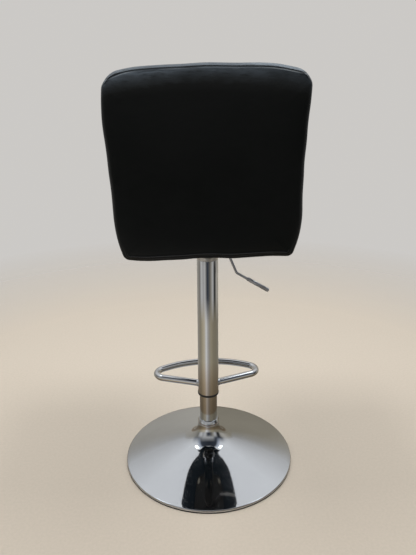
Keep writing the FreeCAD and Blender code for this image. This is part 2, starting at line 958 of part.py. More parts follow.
def strap_screws(grow):
    """Screws through both legs of each strap, two in each."""
    screws = []
    seat_first = back_rear_y + board_front + strap_seat_leg - strap_thickness - strap_hole_inset
    back_first = strap_back_leg - strap_hole_inset
    for x in strap_places:
        for i in range(2):
            flat = screw(board_top + strap_thickness, grow)
            flat.translate(Vector(x, seat_first - i * strap_hole_pitch, 0))
            screws.append(flat)
            upright = screw(0, grow)
            upright.rotate(origin, axis_x, -quarter_turn)
            upright.translate(Vector(
                x, board_front + strap_thickness, back_first - i * strap_hole_pitch))
            screws.append(leaned(upright))
    return screws


def seat_outline(inset, height):
    """Plan of the seat at one height; its rear edge runs on behind the back board."""
    right = [
        (seat_rear_half_width, back_rear_y - seat_front_corner, seat_roll),
        (seat_half_width, seat_hip_y, seat_hip_radius),
        (seat_half_width - seat_side_draw, seat_crown_y, seat_side_radius),
        (seat_half_width, seat_front - seat_front_bow, seat_front_corner),
    ]
    left = [(-u, v, radius) for u, v, radius in reversed(right)]
    corners = right + [(0, seat_front + seat_front_bow, seat_front_radius)] + left
    return rounded_wire(corners, lambda u, v: Vector(u, v, height), inset)


def make_seat_board():
    board = Part.Face(seat_outline(board_inset, cloth_top)).extrude(up * board_thickness)
    board = board.cut(leaned(behind_board()))
    for x, y in square_places(plate_hole_spacing):
        board = board.cut(cylinder(
            tee_barrel_radius + press_gap, cloth_top - overrun, board_top + overrun, x, y))
    for piece in strap_screws(press_gap):
        board = board.cut(piece)
    return board


def make_back_board():
    board = leaned(make_back_board_upright())
    for piece in strap_screws(press_gap):
        board = board.cut(piece)
    return board


def make_frame_straps():
    straps = []
    for x in strap_places:
        strap = strap_shape(0, x)
        for piece in strap_screws(press_gap):
            strap = strap.cut(piece)
        straps.append(strap)
    return group(straps)


def frame_pieces():
    """What is buried in the cushions: straps, screw heads and nut flanges."""
    pieces = [strap_shape(0, x) for x in strap_places]
    pieces.extend(strap_screws(0))
    for x, y in square_places(plate_hole_spacing):
        pieces.append(cylinder(
            tee_flange_radius, board_top - overrun, board_top + tee_flange_height, x, y))
    return pieces


def make_seat_cushion():
    wires = [
        seat_outline(seat_roll * inset_share, cloth_top + seat_thickness * height_share)
        for inset_share, height_share in zip(seat_inset_shares, seat_height_shares)]
    crown = Part.makeSphere(
        seat_crown_radius, Vector(0, seat_crown_y, seat_peak - seat_crown_radius))
    cushion = lofted(wires).common(crown)
    cushion = cushion.cut(leaned(behind_board())).cut(leaned(back_pad_space()))
    board = Part.Face(seat_outline(board_inset, cloth_top - overrun)).extrude(
        up * (board_thickness + overrun))
    cushion = cushion.cut(board)
    for piece in frame_pieces():
        cushion = cushion.cut(piece)
    return cushion


def make_back_cushion():
    wires = [
        back_outline(back_roll * inset_share, board_front + back_pad_thickness * depth_share)
        for inset_share, depth_share in zip(back_inset_shares, back_depth_shares)]
    below = box(-beyond, beyond, -beyond, beyond, -beyond, back_pad_start)
    crown_y = board_front + back_pad_thickness - back_crown_radius
    crown = Part.makeSphere(
        back_crown_radius, Vector(0, crown_y, (back_pad_start + back_height) / 2))
    cushion = leaned(lofted(wires).common(crown).cut(below))
    for piece in frame_pieces():
        cushion = cushion.cut(piece)
    return cushion


def make_rear_pad():
    wires = [
        back_outline(rear_roll * inset_share, rear_pad_thickness * depth_share)
        for inset_share, depth_share in zip(rear_inset_shares, rear_depth_shares)]
    crown = Part.makeSphere(
        rear_crown_radius, Vector(0, rear_crown_radius - rear_crown_proud, back_waist_height))
    pad = lofted(wires).common(crown).cut(make_back_board_upright())
    front_trim = box(-beyond, beyond, board_front, beyond, -overrun, back_height + beyond)
    pad = leaned(pad.cut(front_trim))
    for piece in strap_screws(press_gap):
        pad = pad.cut(piece)
    return pad


def make_dust_cover():
    sheet = Part.Face(seat_outline(cover_cloth_inset, plate_top)).extrude(up * cover_cloth)
    sheet = sheet.cut(leaned(behind_board()))
    for x, y in square_places(plate_hole_spacing):
        sheet = sheet.cut(cylinder(
            bolt_radius + press_gap, plate_top - overrun, cloth_top + overrun, x, y))
    return sheet


# The pieces by name

pieces = {
    "base_shell": make_base_shell(),
    "floor_ring": make_floor_ring(),
    "ballast": make_ballast(),
    "column_tube": make_column_tube(),
    "column_seal": make_column_seal(),
    "column_collar": make_column_collar(),
    "column_foot": make_column_foot(),
    "base_washer": make_base_washer(),
    "base_nut": make_base_nut(),
    "guide_bush": make_guide_bush(),
    "bearing_lower_race": race(foot_top, lower_race_top),
    "bearing_rollers": group(roller_shapes(roller_radius, roller_length)),
    "bearing_cage": make_bearing_cage(),
    "rod_washer": make_rod_washer(),
    "bearing_upper_race": race(upper_race_bottom, upper_race_top),
    "piston_rod": make_piston_rod(),
    "piston": make_piston(),
    "rod_clip": make_rod_clip(),
    "gas_cylinder": make_gas_cylinder(),
    "cylinder_gland": make_cylinder_gland(),
    "valve_button": make_valve_button(),
    "cover_tube": make_cover_tube(),
    "cover_ring": make_cover_ring(),
    "cover_cap": make_cover_cap(),
    "footrest": make_footrest(),
    "footrest_welds": make_footrest_welds(),
    "swivel_plate": make_swivel_plate(),
    "lever_housing": make_lever_housing(),
    "taper_socket": make_taper_socket(),
    "pivot_pin": make_pivot_pin(),
    "pivot_spacers": make_pivot_spacers(),
    "lever_rocker": make_lever_rocker(),
    "lever_rod": make_lever_rod(),
    "lever_sleeve": make_lever_sleeve(),
    "plate_bolts": make_plate_bolts(),
    "plate_washers": make_plate_washers(),
    "tee_nuts": make_tee_nuts(),
    "seat_board": make_seat_board(),
    "back_board": make_back_board(),
    "frame_straps": make_frame_straps(),
    "strap_screws": group(strap_screws(0)),
    "seat_cushion": make_seat_cushion(),
    "back_cushion": make_back_cushion(),
    "rear_pad": make_rear_pad(),
    "dust_cover": make_dust_cover(),
}

os.makedirs("parts", exist_ok=True)
for name, shape in pieces.items():
    shape.exportStep("parts/" + name + ".step")
    print(name, shape.isValid(), len(shape.Solids), round(shape.Volume))
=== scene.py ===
import json
import math

import bpy
from mathutils import Matrix, Vector, noise


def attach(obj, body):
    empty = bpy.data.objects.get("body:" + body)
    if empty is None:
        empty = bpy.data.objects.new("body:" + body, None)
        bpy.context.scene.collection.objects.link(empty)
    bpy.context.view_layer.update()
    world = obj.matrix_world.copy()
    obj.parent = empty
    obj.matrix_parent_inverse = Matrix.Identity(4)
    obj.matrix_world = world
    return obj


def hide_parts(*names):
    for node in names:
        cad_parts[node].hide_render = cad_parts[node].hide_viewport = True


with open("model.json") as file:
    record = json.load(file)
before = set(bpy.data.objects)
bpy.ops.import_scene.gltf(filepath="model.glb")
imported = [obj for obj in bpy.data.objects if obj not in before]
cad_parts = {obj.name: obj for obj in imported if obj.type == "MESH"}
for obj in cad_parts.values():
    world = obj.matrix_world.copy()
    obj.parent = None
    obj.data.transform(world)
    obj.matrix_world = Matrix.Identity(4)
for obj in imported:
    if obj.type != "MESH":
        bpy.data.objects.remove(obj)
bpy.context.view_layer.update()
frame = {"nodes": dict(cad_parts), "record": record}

# Everything is in metres, in the row's frame: +Z up, the sitter faces +Y.

PLATE_TOP = 0.586
LEAN = math.radians(6)
BACK_Y = -0.200
MATERIALS = {}


# ---------------------------------------------------------------- node helpers

def link(tree, a, b):
    tree.links.new(a, b)


def add(tree, kind, inputs=None, **settings):
    """A new node, each of its inputs given as a value or as the socket that feeds it."""
    n = tree.nodes.new(kind)
    for key, value in settings.items():
        setattr(n, key, value)
    for key, value in (inputs or {}).items():
        if isinstance(value, bpy.types.NodeSocket):
            link(tree, value, n.inputs[key])
        else:
            n.inputs[key].default_value = value
    return n


def coords(tree, scale=(1, 1, 1), rotation=(0, 0, 0)):
    own = add(tree, "ShaderNodeTexCoord").outputs["Object"]
    return add(tree, "ShaderNodeMapping", {
        "Vector": own, "Scale": scale, "Rotation": rotation}).outputs["Vector"]


def own_place(tree):
    """The place in the object's own frame, as a vector and as its X, Y and Z."""
    vector = add(tree, "ShaderNodeTexCoord").outputs["Object"]
    return vector, add(tree, "ShaderNodeSeparateXYZ", {0: vector}).outputs


def noise_map(tree, vector, scale, detail=2.0, rough=0.5, distortion=0.0):
    return add(tree, "ShaderNodeTexNoise", {
        "Vector": vector, "Scale": scale, "Detail": detail, "Roughness": rough,
        "Distortion": distortion}).outputs["Fac"]


def ramp(tree, fac, stops):
    """Colour by fac, from (place, colour) stops."""
    n = add(tree, "ShaderNodeValToRGB", {"Fac": fac})
    cr = n.color_ramp
    while len(cr.elements) < len(stops):
        cr.elements.new(0.5)
    for el, (pos, col) in zip(cr.elements, stops):
        el.position = pos
        el.color = (*col, 1)
    return n.outputs["Color"]


def two_tone(tree, fac, low, high):
    return ramp(tree, fac, [(0.3, low), (0.7, high)])


def toned(tree, cloud, colour, share):
    """The colour, down to that share of it where the cloud is low."""
    return two_tone(tree, cloud, [c * share for c in colour], colour)


def grey(v):
    return (v, v, v)


def spread(tree, fac, low, high, from_low=0.3, from_high=0.7):
    """From low to high as fac goes from from_low to from_high."""
    return add(tree, "ShaderNodeMapRange", {
        "Value": fac, "From Min": from_low, "From Max": from_high, "To Min": low,
        "To Max": high}).outputs["Result"]


def between(tree, value, low, high):
    """0 up to low, and 1 from high on."""
    return spread(tree, value, 0.0, 1.0, low, high)


def bump(tree, height, strength, distance, under=None):
    inputs = {"Height": height, "Strength": strength, "Distance": distance}
    if under is not None:
        inputs["Normal"] = under
    return add(tree, "ShaderNodeBump", inputs).outputs["Normal"]


def math_node(tree, operation, a, b=0.0):
    return add(tree, "ShaderNodeMath", {0: a, 1: b}, operation=operation).outputs[0]


def mixed(tree, fac, a, b, mode="MIX"):
    return add(tree, "ShaderNodeMixRGB", {0: fac, 1: a, 2: b}, blend_type=mode).outputs[0]


def length_of(tree, vector):
    n = add(tree, "ShaderNodeVectorMath", {0: vector}, operation="LENGTH")
    return n.outputs["Value"]


def see_through(tree, fac, look):
    """The given shader, clear where fac is 1."""
    clear = add(tree, "ShaderNodeBsdfTransparent").outputs[0]
    return add(tree, "ShaderNodeMixShader", {0: fac, 1: look, 2: clear}).outputs[0]


def material(name):
    """A new material, kept in MATERIALS: its node tree and its main shader."""
    mat = bpy.data.materials.new(name)
    mat.use_nodes = True
    MATERIALS[name] = mat
    return mat.node_tree, mat.node_tree.nodes["Principled BSDF"]


# ------------------------------------------------------------------- materials

def scratches(tree, scale, angle, threshold):
    """Thin straight marks in one direction, as a mask."""
    vec = coords(tree, (scale, scale * 0.035, scale), (0, 0, angle))
    raw = noise_map(tree, vec, 1.0, 1.0, 0.4)
    return between(tree, raw, threshold, threshold + 0.03)


def chrome_material(name, tint, dull, marks):
    """Polished chrome: dull is its roughness, and marks what its scratches add to that."""
    tree, shader = material(name)
    vec = coords(tree)
    cloud = noise_map(tree, vec, 9.0, 3.0, 0.6)
    dust = noise_map(tree, vec, 900.0, 2.0, 0.6)
    link(tree, toned(tree, cloud, tint, 0.93), shader.inputs["Base Color"])
    shader.inputs["Metallic"].default_value = 1.0
    mask = math_node(tree, "MAXIMUM", scratches(tree, 900.0, 0.5, 0.695),
                     scratches(tree, 1100.0, -1.1, 0.705))
    rough = math_node(
        tree, "ADD", spread(tree, cloud, dull, dull + 0.03), spread(tree, dust, 0.0, 0.03))
    marked = math_node(tree, "MULTIPLY", mask, marks)
    link(tree, math_node(tree, "ADD", rough, marked), shader.inputs["Roughness"])
    soft = bump(tree, cloud, 0.05, 0.002)
    link(tree, bump(tree, mask, 0.06, 0.0001, soft), shader.inputs["Normal"])


def steel_material(name, colour, rough, scale, grain=(1, 1, 1), depth=0.1):
    """Plain metal, with a fine grain of that scale and depth."""
    tree, shader = material(name)
    fine = noise_map(tree, coords(tree, grain), scale, 3.0, 0.6)
    cloud = noise_map(tree, coords(tree), 35.0, 3.0, 0.6)
    link(tree, toned(tree, cloud, colour, 0.75), shader.inputs["Base Color"])
    shader.inputs["Metallic"].default_value = 1.0
    link(tree, spread(tree, fine, rough - 0.06, rough + 0.10), shader.inputs["Roughness"])
    link(tree, bump(tree, fine, depth, 0.0003), shader.inputs["Normal"])


def plain_material(name, colour, rough, scale, depth):
    """Paint, rubber, plastic or thread, with a fine grain of that scale and depth."""
    tree, shader = material(name)
    fine = noise_map(tree, coords(tree), scale, 4.0, 0.6)
    cloud = noise_map(tree, coords(tree), scale * 0.08, 3.0, 0.6)
    link(tree, toned(tree, cloud, colour, 0.7), shader.inputs["Base Color"])
    link(tree, spread(tree, fine, rough - 0.08, rough + 0.08), shader.inputs["Roughness"])
    link(tree, bump(tree, fine, depth, 0.0005), shader.inputs["Normal"])


def leather_material(name, level, sheen=None):
    """Smooth black leatherette: a fine pebble, soft creases and a slight sheen; the sheen argument,
    when given, adds a painted sheen to the base colour.
    """
    tree, shader = material(name)
    vec = coords(tree)
    pebble = add(tree, "ShaderNodeTexVoronoi", {"Vector": vec, "Scale": 900.0})
    crease = noise_map(tree, coords(tree, (1, 1, 2.2)), 26.0, 5.0, 0.62, 0.6)
    broad = noise_map(tree, vec, 7.0, 2.0, 0.5)
    fine = noise_map(tree, vec, 420.0, 3.0, 0.6)
    tone = ramp(tree, broad, [
        (0.35, (0.0024, 0.0034, 0.0030)), (0.65, (0.0034, 0.0044, 0.0042))])
    if sheen is not None:
        tone = sheen(tree, tone, crease)
    link(tree, tone, shader.inputs["Base Color"])
    rough = math_node(
        tree, "ADD", spread(tree, crease, 0.36, 0.44), spread(tree, fine, -0.03, 0.05))
    link(tree, rough, shader.inputs["Roughness"])
    shader.inputs["Specular IOR Level"].default_value = level
    one = bump(tree, pebble.outputs["Distance"], 0.25, 0.0002)
    two = bump(tree, crease, 0.20, 0.0015, one)
    link(tree, bump(tree, broad, 0.15, 0.006, two), shader.inputs["Normal"])


# By the place across: where the seam lies in the painted sheen's height, how bright the painted
# glint along its edge is, and how strong the painted sheen is above the seam and below it.
SEAM_LINE = [
    (-0.18, 0.660), (-0.15, 0.744), (-0.13, 0.743), (-0.11, 0.722), (-0.09, 0.705), (-0.07, 0.687),
    (-0.04, 0.675), (0.0, 0.688), (0.04, 0.693), (0.06, 0.706), (0.08, 0.735), (0.10, 0.765),
    (0.12, 0.790), (0.14, 0.801), (0.16, 0.797)]
SEAM_GLINT = [
    (-0.18, 0.03), (-0.146, 0.14), (-0.125, 0.03), (-0.095, 0.02), (-0.070, 0.11), (-0.040, 0.06),
    (0.0, 0.08), (0.05, 0.08), (0.085, 0.06), (0.12, 0.16), (0.158, 0.24), (0.178, 0.08)]
SHEEN_ABOVE_SEAM = [
    (-0.18, 0.62), (-0.07, 0.64), (-0.03, 0.74), (0.05, 0.78), (0.08, 0.92), (0.17, 1.0)]
SHEEN_BELOW_SEAM = [
    (-0.18, 0.85), (-0.14, 1.0), (-0.07, 1.0), (-0.03, 0.84), (0.06, 0.84), (0.085, 0.66),
    (0.12, 0.40), (0.17, 0.34)]


PLACE_REACH = 0.2
# The painted sheen's height is measured from a line that bows down by SHEEN_BOW times x squared.
SHEEN_LOW, SHEEN_HIGH, SHEEN_BOW = 0.92, 0.985, 0.62


def by_place(tree, x, rows):
    """Grey by the place across, from (place, level) rows."""
    return ramp(tree, between(tree, x, -PLACE_REACH, PLACE_REACH), [
        ((place + PLACE_REACH) / (2 * PLACE_REACH), grey(value)) for place, value in rows])


def painted_top_sheen(tree, tone, crease):
    """Painted sheen: a greyer, slightly blue base colour where the back's top edge catches the
    light, with a painted glint under the seam and painted shade in its groove.
    """
    parts = own_place(tree)[1]
    x = parts["X"]
    drop = math_node(tree, "MULTIPLY", math_node(tree, "POWER", x, 2.0), SHEEN_BOW)
    height = math_node(tree, "ADD", parts["Z"], drop)
    off = math_node(tree, "SUBTRACT", between(tree, height, SHEEN_LOW, SHEEN_HIGH),
                    by_place(tree, x, SEAM_LINE))
    # Painted highlight: a thin bright glint just under the seam.
    edge = math_node(tree, "ABSOLUTE", math_node(tree, "ADD", off, 0.032))
    glint = math_node(tree, "MULTIPLY", spread(tree, edge, 1.0, 0.0, 0.006, 0.024),
                      by_place(tree, x, SEAM_GLINT))
    # Painted shade: the painted sheen is darker in the seam's groove.
    sunk = math_node(tree, "ABSOLUTE", math_node(tree, "SUBTRACT", off, 0.006))
    groove = spread(tree, sunk, 0.25, 1.0, 0.006, 0.022)
    share = mixed(tree, between(tree, off, 0.0, 0.02), by_place(tree, x, SHEEN_BELOW_SEAM),
                  by_place(tree, x, SHEEN_ABOVE_SEAM))
    height = math_node(tree, "ADD", height, spread(tree, crease, -0.004, 0.004))
    # The painted sheen itself: greyer and bluer towards the top edge, broken into streaks.
    sheen_and_wear = ramp(tree, between(tree, height, SHEEN_LOW, SHEEN_HIGH), [
        (0.0, grey(0.0)), (0.20, grey(0.002)), (0.45, (0.024, 0.028, 0.033)),
        (0.70, (0.072, 0.087, 0.105)), (0.80, (0.092, 0.110, 0.130)), (0.85, (0.115, 0.135, 0.155)),
        (0.90, (0.092, 0.112, 0.132)), (1.0, (0.088, 0.110, 0.130))])
    streaks = noise_map(tree, coords(tree, (0.25, 1, 1.6)), 170.0, 3.0, 0.6, 0.4)
    patchy = ramp(tree, streaks, [(0.34, grey(0.62)), (0.46, grey(0.98)), (0.62, grey(1.08))])
    for factor in (patchy, share, groove):
        sheen_and_wear = mixed(tree, 1.0, sheen_and_wear, factor, "MULTIPLY")
    bright = ramp(tree, glint, [(0.0, grey(0.0)), (0.5, (0.46, 0.50, 0.53))])
    for light in (sheen_and_wear, bright):
        tone = mixed(tree, 1.0, tone, light, "ADD")
    return tone


def cloth_material(name):
    """Black non-woven cloth with pressed dots."""
    tree, shader = material(name)
    cells = add(tree, "ShaderNodeTexVoronoi", {
        "Vector": coords(tree, (1, 1, 0)), "Scale": 520.0, "Randomness": 0.15})
    fibre = noise_map(tree, coords(tree), 700.0, 4.0, 0.7)
    link(tree, two_tone(tree, fibre, (0.003, 0.008, 0.014), (0.008, 0.019, 0.036)),
         shader.inputs["Base Color"])
    shader.inputs["Roughness"].default_value = 0.9
    shader.inputs["Specular IOR Level"].default_value = 0.2
    dots = bump(tree, cells.outputs["Distance"], 0.5, 0.0003)
    link(tree, bump(tree, fibre, 0.4, 0.0003, dots), shader.inputs["Normal"])


def wood_material(name):
    """Plywood: its grain along Y, with the plies one above the other."""
    tree, shader = material(name)
    grain = noise_map(tree, coords(tree, (1, 0.08, 1)), 140.0, 4.0, 0.6, 0.4)
    plies = add(tree, "ShaderNodeTexWave", {"Vector": coords(tree), "Scale": 130.0},
                bands_direction="Z")
    mix = math_node(tree, "ADD", math_node(tree, "MULTIPLY", grain, 0.7),
                    math_node(tree, "MULTIPLY", plies.outputs["Fac"], 0.3))
    link(tree, two_tone(tree, mix, (0.30, 0.19, 0.10), (0.55, 0.40, 0.25)),
         shader.inputs["Base Color"])
    shader.inputs["Roughness"].default_value = 0.7
    link(tree, bump(tree, grain, 0.3, 0.0004), shader.inputs["Normal"])


chrome_material("base_chrome", (0.595, 0.61, 0.625), 0.015, 0.20)
chrome_material("tube_chrome", (0.60, 0.60, 0.60), 0.03, 0.10)
chrome_material("rod_chrome", (0.60, 0.60, 0.61), 0.05, 0.10)
steel_material("lever_steel", (0.46, 0.46, 0.47), 0.34, 500.0)
steel_material("cap_steel", (0.62, 0.58, 0.52), 0.34, 500.0)
steel_material("weld", (0.60, 0.60, 0.60), 0.30, 420.0, depth=0.5)
steel_material("steel", (0.50, 0.50, 0.51), 0.30, 200.0, (1, 1, 8))
steel_material("zinc_steel", (0.62, 0.62, 0.58), 0.36, 260.0)
steel_material("brass", (0.62, 0.48, 0.22), 0.34, 260.0)
plain_material("painted_steel", (0.008, 0.012, 0.020), 0.46, 700.0, 0.35)
plain_material("cast_iron", (0.060, 0.060, 0.062), 0.70, 320.0, 0.9)
plain_material("seal", (0.30, 0.15, 0.075), 0.50, 600.0, 0.4)
plain_material("rubber", (0.020, 0.020, 0.021), 0.78, 500.0, 0.4)
plain_material("black_plastic", (0.011, 0.011, 0.012), 0.38, 800.0, 0.2)
plain_material("thread", (0.050, 0.055, 0.065), 0.60, 1500.0, 0.5)
# Greyer than the cover's leatherette: a painted highlight along the hem fold.
plain_material("leatherette_edge", (0.022, 0.023, 0.025), 0.50, 900.0, 0.4)
leather_material("leatherette", 0.36)
# The rear cover's leatherette gets a painted sheen along its top edge.
leather_material("leatherette_rear", 0.18, painted_top_sheen)
wood_material("plywood")
cloth_material("black_cloth")

for row in frame["record"]["subparts"]:
    node = frame["nodes"][row["node"]]
    node.data.materials.clear()
    node.data.materials.append(MATERIALS[row["material_slot"]])


# ---------------------------------------------------------------- mesh helpers

def new_object(name, verts, faces, mat, smooth=True):
    mesh = bpy.data.meshes.new(name)
    mesh.from_pydata([tuple(v) for v in verts], [], faces)
    mesh.validate()
    mesh.materials.append(MATERIALS[mat])
    if smooth:
        mesh.polygons.foreach_set("use_smooth", [True] * len(mesh.polygons))
    mesh.update()
    obj = bpy.data.objects.new(name, mesh)
    bpy.context.scene.collection.objects.link(obj)
    return obj


def finish_piece(obj, body, slot, *nodes):
    """Says what the piece rides on and hides the CAD nodes it replaces; slot is not used."""
    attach(obj, body)
    if nodes:
        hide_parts(*nodes)


def band(first, second, count):
    """Faces between two rings of count points, given the index at which each ring starts."""
    return [(first + i, first + (i + 1) % count, second + (i + 1) % count, second + i)
            for i in range(count)]


def hoops(rings):
    """Points and faces of a surface through rings of equal length."""
    verts = [v for ring in rings for v in ring]
    count = len(rings[0])
    starts = range(0, len(verts) - count, count)
    return verts, [face for k in starts for face in band(k, k + count, count)]


def rings_mesh(name, rings, mat):
    """Closed mesh from rings of equal length, with a fan at each end."""
    verts, faces = hoops(rings)
    count = len(rings[0])
    for start, flip in ((0, True), (len(verts) - count, False)):
        c = len(verts)
        verts.append(sum(verts[start:start + count], Vector()) / count)
        for i in range(count):
            j = (i + 1) % count
            faces.append((start + j, start + i, c) if flip else (start + i, start + j, c))
    return new_object(name, verts, faces, mat)


def circle(centre, ahead, side, radius, sides):
    """A ring of points round centre, across the direction ahead."""
    other = ahead.cross(side)
    return [centre + (side * math.cos(t) + other * math.sin(t)) * radius
            for t in (2 * math.pi * k / sides for k in range(sides))]


def direction(angle):
    return Vector((math.cos(angle), math.sin(angle)))


def arc_about(centre, radius, start, end, steps):
    """Points of an arc in the plane, from one angle to another."""
    return [centre + direction(start + (end - start) * k / steps) * radius
            for k in range(steps + 1)]


def arc_between(start, end, centre, steps):
    """Points of an arc in the plane, from one point to another."""
    arm = start - centre
    turn = arm.angle_signed(end - centre)
    out = []
    for k in range(steps + 1):
        turned = arm.copy()
        turned.rotate(Matrix.Rotation(-turn * k / steps, 2))
        out.append(centre + turned)
    return out


def fillet(before, here, after, radius):
    """Where a round corner starts and ends, and its centre."""
    back, ahead = (before - here).normalized(), (after - here).normalized()
    half = back.angle(ahead) / 2
    reach = radius / math.tan(half)
    centre = here + (back + ahead).normalized() * (radius / math.sin(half))
    return here + back * reach, here + ahead * reach, centre


def filleted(corners, steps):
    """Profile from (r, z, fillet) corners, with a small arc at each that has a fillet."""
    points = [Vector(corner[:2]) for corner in corners]
    out = []
    for i, here in enumerate(points):
        radius = corners[i][2]
        if radius == 0:
            out.append(here)
        else:
            ahead = points[(i + 1) % len(points)]
            out += arc_between(*fillet(points[i - 1], here, ahead, radius), steps)
    return out


LONG_LINE, HOLD_REACH = 0.02, 0.0006


def held(profile):
    """The closed profile with points near both ends of its long lines, to keep them flat."""
    out = []
    for here, ahead in zip(profile, profile[1:] + profile[:1]):
        out.append(here)
        length = (ahead - here).length
        if length > LONG_LINE:
            share = HOLD_REACH / length
            out += [here.lerp(ahead, share), here.lerp(ahead, 1 - share)]
    return out


def lathe(name, profile, mat, segments=128):
    """Closed ring of revolution from a closed (r, z) profile."""
    profile = held(profile)
    count = len(profile)
    verts, faces = [], []
    for s in range(segments):
        a = 2 * math.pi * s / segments
        verts += [(r * math.cos(a), r * math.sin(a), z) for r, z in profile]
        t = (s + 1) % segments
        for i in range(count):
            j = (i + 1) % count
            faces.append((s * count + i, t * count + i, t * count + j, s * count + j))
    return new_object(name, verts, faces, mat)


# -------------------------------------------------------------------- the base

BASE_R, BASE_TOP, NECK_R, WALL = 0.205, 0.096, 0.0258, 0.0015
RIM_W, RIM_TOP, RIM_LOW, RIM_CHAMFER = 0.002, 0.008, 0.0025, 0.0004
SWEEP_R = 0.050


def base_profile():
    """The trumpet's sheet in section: neck sweep, straight flank, rolled rim, and back inside."""
    neck_c = Vector((NECK_R + SWEEP_R, BASE_TOP))
    roll_c = Vector((BASE_R - RIM_W, RIM_TOP - RIM_W))
    run, drop = roll_c.x - neck_c.x, neck_c.y - roll_c.y
    slope = math.acos((SWEEP_R + RIM_W) / math.hypot(run, drop)) - math.atan2(run, drop)
    facing = math.pi / 2 - slope
    outer = arc_about(neck_c, SWEEP_R, math.pi, math.pi + facing, 40)
    start, end = outer[-1], roll_c + direction(facing) * RIM_W
    outer += [start.lerp(end, k / 16) for k in range(1, 16)]
    outer += arc_about(roll_c, RIM_W, facing, 0, 8)
    outer += [Vector((BASE_R, RIM_LOW + RIM_CHAMFER)), Vector((BASE_R - RIM_CHAMFER, RIM_LOW))]
    down = direction(facing) * -WALL
    inner = [Vector((BASE_R - WALL, RIM_LOW)), Vector((BASE_R - WALL, end.y + down.y - 0.0003))]
    inner += [end.lerp(start, k / 8) + down for k in range(1, 8)]
    inner += arc_about(neck_c, SWEEP_R + WALL, math.pi + facing, math.pi, 24)
    return outer + inner


finish_piece(
    lathe("base_trumpet", base_profile(), "base_chrome", 256), "base", "base_chrome", "base_shell")

# Each turned piece: name, body, slot, CAD node, steps in its fillets, (r, z, fillet) corners.
TURNED_PIECES = [
    ("column_inner", "base", "tube_chrome", "column_tube", 4, [
        (0.0194, 0.018, 0), (0.0212, 0.018, 0), (0.0212, 0.391, 0.0004), (0.0194, 0.391, 0.0003)]),
    ("collar_bright", "base", "base_chrome", "column_collar", 5, [
        (0.02124, 0.097, 0), (0.0258, 0.097, 0.0004), (0.0258, 0.0998, 0.0016),
        (0.0226, 0.106, 0.0006), (0.02124, 0.106, 0)]),
    ("tube_outer", "seat", "tube_chrome", "cover_tube", 4, [
        (0.0235, 0.178, 0), (0.025, 0.178, 0.0004), (0.025, 0.521, 0.0004), (0.0235, 0.521, 0)]),
    ("tube_foot_ring", "seat", "black_plastic", "cover_ring", 4, [
        (0.0215, 0.173, 0.0003), (0.0258, 0.173, 0.0012), (0.0258, 0.178, 0.0008),
        (0.02346, 0.178, 0), (0.02346, 0.208, 0), (0.0215, 0.208, 0)])]
for name, body, slot, node, steps, corners in TURNED_PIECES:
    finish_piece(lathe(name, filleted(corners, steps), slot), body, slot, node)


# ---------------------------------------------------------- footrest and lever

def tube_along(name, points, radii, mat, sides):
    """Closed round tube that follows closely spaced points, with a radius at each."""
    rings = []
    side = None
    for i, (p, radius) in enumerate(zip(points, radii)):
        ahead = (points[min(i + 1, len(points) - 1)] - points[max(i - 1, 0)]).normalized()
        if side is None:
            side = ahead.orthogonal().normalized()
        side = (side - ahead * side.dot(ahead)).normalized()
        rings.append(circle(p, ahead, side, radius, sides))
    return rings_mesh(name, rings, mat)


FOOTREST_Z, FOOTREST_TURN = 0.200, math.radians(4.4)


def footrest_points():
    """The D loop's centre line: an arm out to a corner, half the bow, and both mirrored."""
    sweep, r_corner, r_bow, reach = math.radians(19.8), 0.024, 0.222, 0.107
    along = direction(sweep)
    inward = Vector((-along.y, along.x))
    bow_c, start = Vector((0, reach - r_bow)), Vector((0, -0.0072))
    offset = start + inward * r_corner - bow_c
    half_b = offset.dot(along)
    dist = math.sqrt(half_b ** 2 - offset.dot(offset) + (r_bow - r_corner) ** 2) - half_b
    corner_c = bow_c + offset + along * dist
    bow_a = math.atan2(corner_c.y - bow_c.y, corner_c.x)
    first = 0.0225
    pts = [start + along * (first + (dist - first) * k / 12) for k in range(12)]
    pts += arc_about(corner_c, r_corner, sweep - math.pi / 2, bow_a, 16)
    pts += arc_about(bow_c, r_bow, bow_a, math.pi / 2, 24)[1:]
    pts += [Vector((-p.x, p.y)) for p in reversed(pts[:-1])]
    turn = Matrix.Rotation(FOOTREST_TURN, 4, "Z")
    return [turn @ Vector((p.x, p.y, FOOTREST_Z)) for p in pts]


loop_points = footrest_points()
loop = tube_along("footrest_loop", loop_points, [0.008] * len(loop_points), "tube_chrome", 36)
# On the base the loop's reflection would be two grey arcs that the photograph doesn't have.
loop.visible_glossy = False
finish_piece(loop, "seat", "tube_chrome", "footrest")


def lever_path():
    """The bent rod's centre line, with the direction and the place of its tip."""
    root, bend = Vector((0.0345, 0, 0.566)), Vector((0.0686, 0, 0.4846))
    tip = Vector((0.1424, 0, 0.4412))
    start, end, centre = fillet(root, bend, tip, 0.012)
    ahead = (tip - bend).normalized()
    a, b = start - centre, end - centre
    turn, axis = a.angle(b), a.cross(b).normalized()
    pts = [root.lerp(start, k / 8) for k in range(8)]
    pts += [centre + Matrix.Rotation(turn * k / 10, 4, axis) @ a for k in range(11)]
    last = tip - ahead * 0.0008
    pts += [end.lerp(last, k / 10) for k in range(1, 11)]
    return pts, ahead, tip


lever_points, lever_ahead, lever_tip = lever_path()
lever_radii = [0.003] * len(lever_points) + [0.0022]
finish_piece(
    tube_along("lever_bar", lever_points + [lever_tip], lever_radii, "lever_steel", 24),
    "lever", "lever_steel", "lever_rod")


